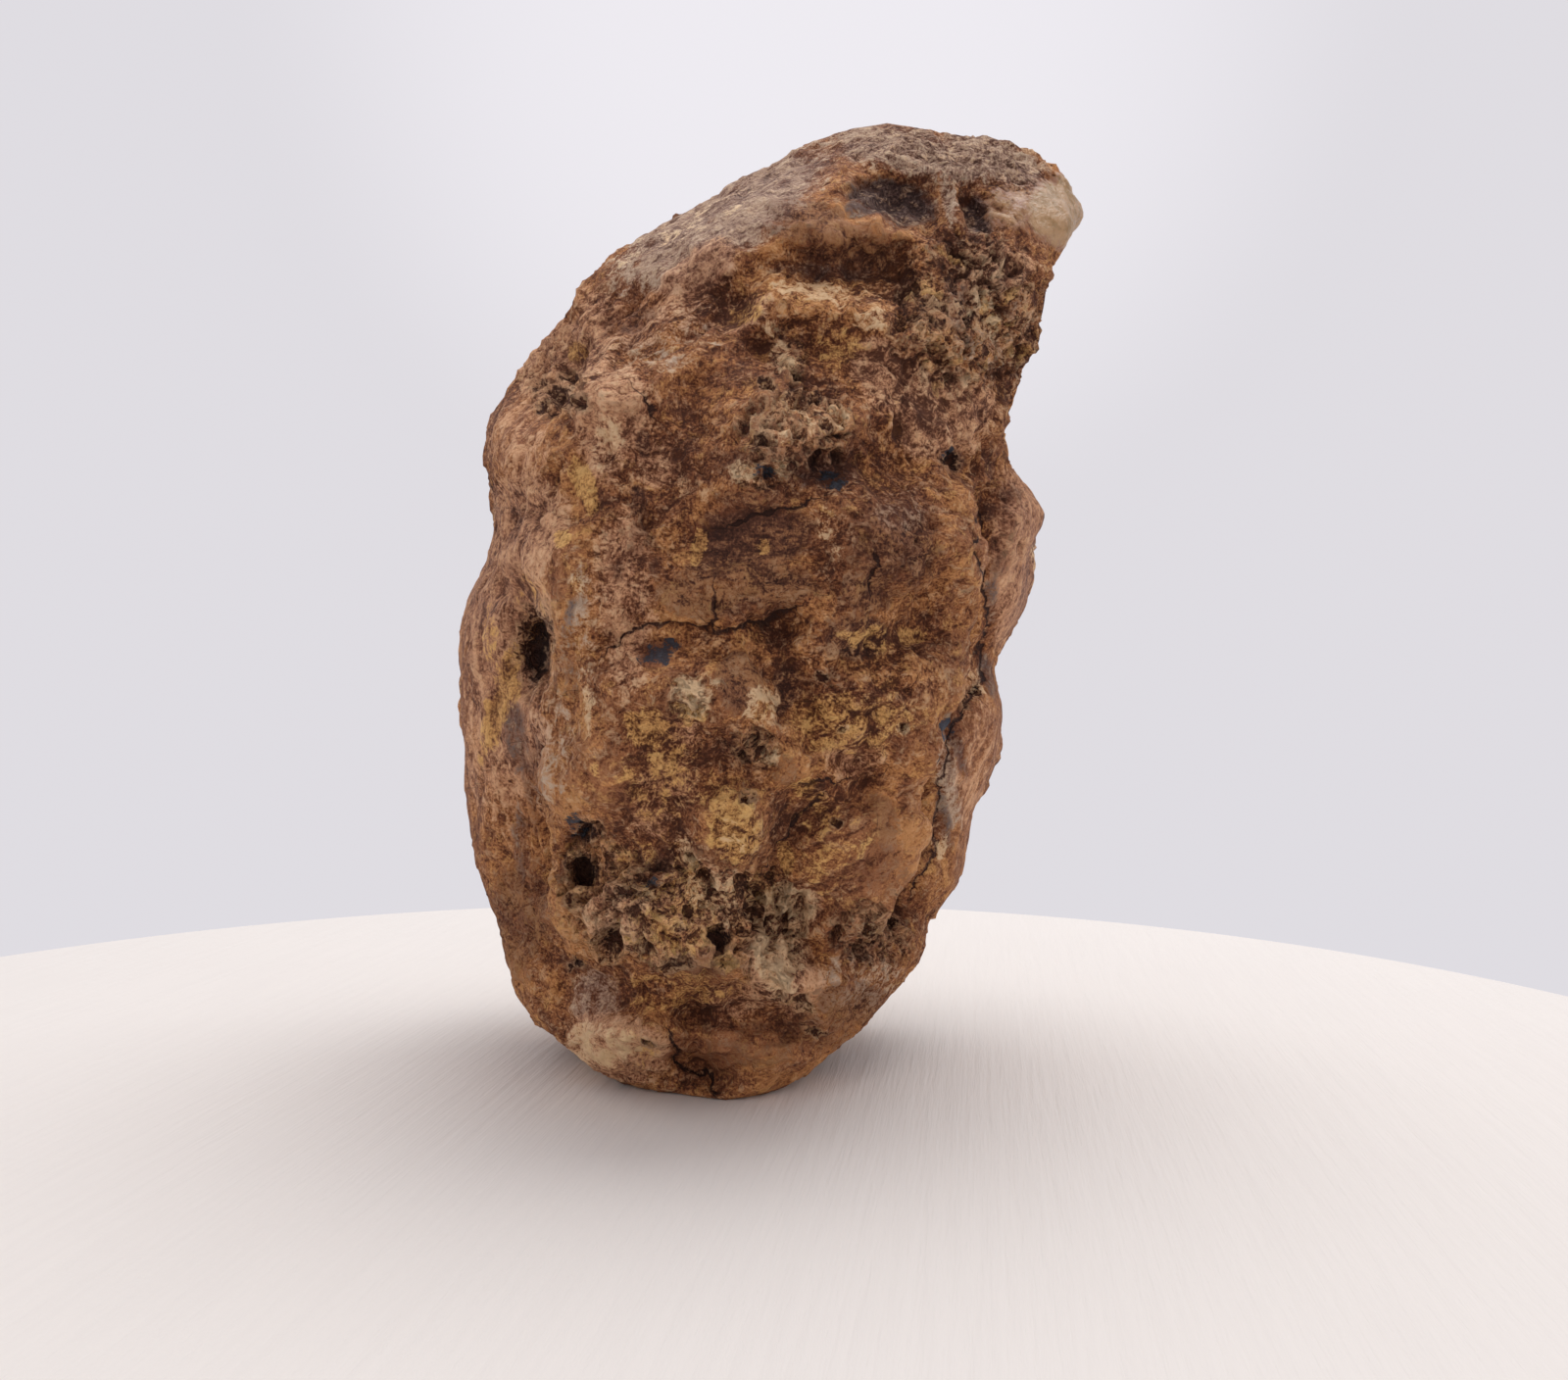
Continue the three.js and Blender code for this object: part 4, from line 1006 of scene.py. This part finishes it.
class GEODE_OT_stone(bpy.types.Operator):
    """Build the stone's skin on its place in the frame"""

    bl_idname = "geode.stone"
    bl_label = "Stone"

    def execute(self, context):
        look = context.scene.geode_stone
        points, poles, masks = stone_grid(look.columns, look.rings, look.front_share)
        places = np.concatenate([poles[:1], points.reshape(-1, 3), poles[1:]])
        places = (places + shift_to_origin(points)) * MM

        mesh = closed_mesh("geode skin", places, look.columns, look.rings)
        for name, mask in masks.items():
            values = np.concatenate([[mask[0].mean()], mask.ravel(), [mask[-1].mean()]])
            marks = mesh.attributes.new(name, "FLOAT", "POINT")
            marks.data.foreach_set("value", values.astype(np.float32))
        mesh.polygons.foreach_set("use_smooth", np.ones(len(mesh.polygons), bool))
        if mesh.validate():
            raise RuntimeError("the stone's grid has faulty faces")

        stone = new_object("geode_skin", mesh, rock_material(look))
        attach(stone, "root")
        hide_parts("geode")
        return {"FINISHED"}


class GEODE_OT_stage(bpy.types.Operator):
    """Set up the pale round floor, the soft light and the camera"""

    bl_idname = "geode.stage"
    bl_label = "Floor, light and camera"

    def execute(self, context):
        look = context.scene.geode_stage
        stone = context.scene.geode_stone
        points = stone_grid(stone.columns, stone.rings, stone.front_share)[0]
        shift = shift_to_origin(points) * MM
        self.add_floor(look, shift)
        self.add_light(context.scene, look)
        self.add_camera(context.scene, shift)
        return {"FINISHED"}

    def add_floor(self, look, shift):
        """A disc with a rounded rim: a profile of radius and height, turned round its middle."""
        radius, quarter = look.floor_radius, np.linspace(0, np.pi / 2, 7)
        rim = radius - FLOOR_EDGE + FLOOR_EDGE * np.sin(quarter)
        radii = np.concatenate([[0, radius * 0.5], rim, [radius, 0]])
        heights = np.concatenate([[0, 0], FLOOR_EDGE * (np.cos(quarter) - 1), [-FLOOR_THICKNESS] * 2])
        angle = np.linspace(0, 2 * np.pi, FLOOR_SEGMENTS, endpoint=False)
        turned = (np.cos(angle), np.sin(angle), np.ones(FLOOR_SEGMENTS))
        rings = np.stack([np.outer(run, part) for run, part in zip((radii, radii, heights), turned)], axis=-1)
        places = np.concatenate([rings[0, :1], rings[1:-1].reshape(-1, 3), rings[-1, :1]])
        places += np.array(FLOOR_MIDDLE) * MM + shift * (1, 1, 0)
        mesh = closed_mesh("floor", places, FLOOR_SEGMENTS, len(radii) - 1)
        floor = new_object("floor", mesh, floor_material(look))

    def add_light(self, scene, look):
        """A pale surround that is dimmer on the camera's side, and one broad lamp overhead."""
        world = bpy.data.worlds.new("surround")
        scene.world = world
        tree = ShaderTree(world)
        direction = tree.wire("TexCoord", output="Generated")
        away = tree.wire("SeparateXYZ", {}, {0: direction}, output="Y")
        seen = tree.wire("LightPath", output="Is Camera Ray")
        glow = tree.wire("VectorMath", {"operation": "DOT_PRODUCT"}, {0: direction, 1: GLOW_DIRECTION},
                         output="Value").step(0.93, 1.0) * GLOW
        strength = away.step(-1.0, 0.6) * (1 - look.sky_front) + look.sky_front
        strength = strength * (1 - seen) + seen * (1 + glow)
        sockets = {"Color": (*look.sky_colour, 1), "Strength": strength}
        background = tree.wire("Background", {}, sockets)
        tree.node("OutputWorld", {}, {"Surface": background})

        lamp = bpy.data.lights.new("overhead lamp", "AREA")
        lamp.shape, lamp.size, lamp.energy = "DISK", LAMP_SIZE, look.lamp_power
        holder = bpy.data.objects.new("overhead lamp", lamp)
        holder.location, holder.rotation_euler = LAMP_PLACE, LAMP_TURN
        scene.collection.objects.link(holder)

    def add_camera(self, scene, shift):
        """The camera stands at the elevation's eye and looks level at the stone."""
        camera = bpy.data.cameras.new("camera")
        camera.sensor_width = 36.0
        camera.lens = camera.sensor_width * FOCAL_LENGTH / IMAGE_WIDTH
        camera.clip_start = 0.01
        eye = bpy.data.objects.new("camera", camera)
        eye.location = np.array([0.0, -EYE_DISTANCE, EYE_HEIGHT]) * MM + shift
        eye.rotation_euler = (math.radians(90), 0, 0)
        scene.collection.objects.link(eye)
        scene.camera = eye
        scene.view_settings.view_transform = "Standard"


class GEODE_PT_panel(bpy.types.Panel):
    """Lists the stone's and the stage's operators and settings"""

    bl_label = "Unopened Geode"
    bl_idname = "GEODE_PT_panel"
    bl_space_type = "VIEW_3D"
    bl_region_type = "UI"
    bl_category = "Geode"

    def draw(self, context):
        for operator, settings in ((GEODE_OT_stone, context.scene.geode_stone),
                                   (GEODE_OT_stage, context.scene.geode_stage)):
            box = self.layout.box()
            box.operator(operator.bl_idname)
            for name in settings.__annotations__:
                box.prop(settings, name)


CLASSES = (GeodeStoneSettings, GeodeStageSettings, GEODE_OT_stone, GEODE_OT_stage, GEODE_PT_panel)


def register():
    for cls in CLASSES:
        bpy.utils.register_class(cls)
    bpy.types.Scene.geode_stone = PointerProperty(type=GeodeStoneSettings)
    bpy.types.Scene.geode_stage = PointerProperty(type=GeodeStageSettings)


def unregister():
    del bpy.types.Scene.geode_stage, bpy.types.Scene.geode_stone
    for cls in reversed(CLASSES):
        bpy.utils.unregister_class(cls)


def main():
    register()
    bpy.ops.geode.stone()
    bpy.ops.geode.stage()


if __name__ == "__main__":
    main()
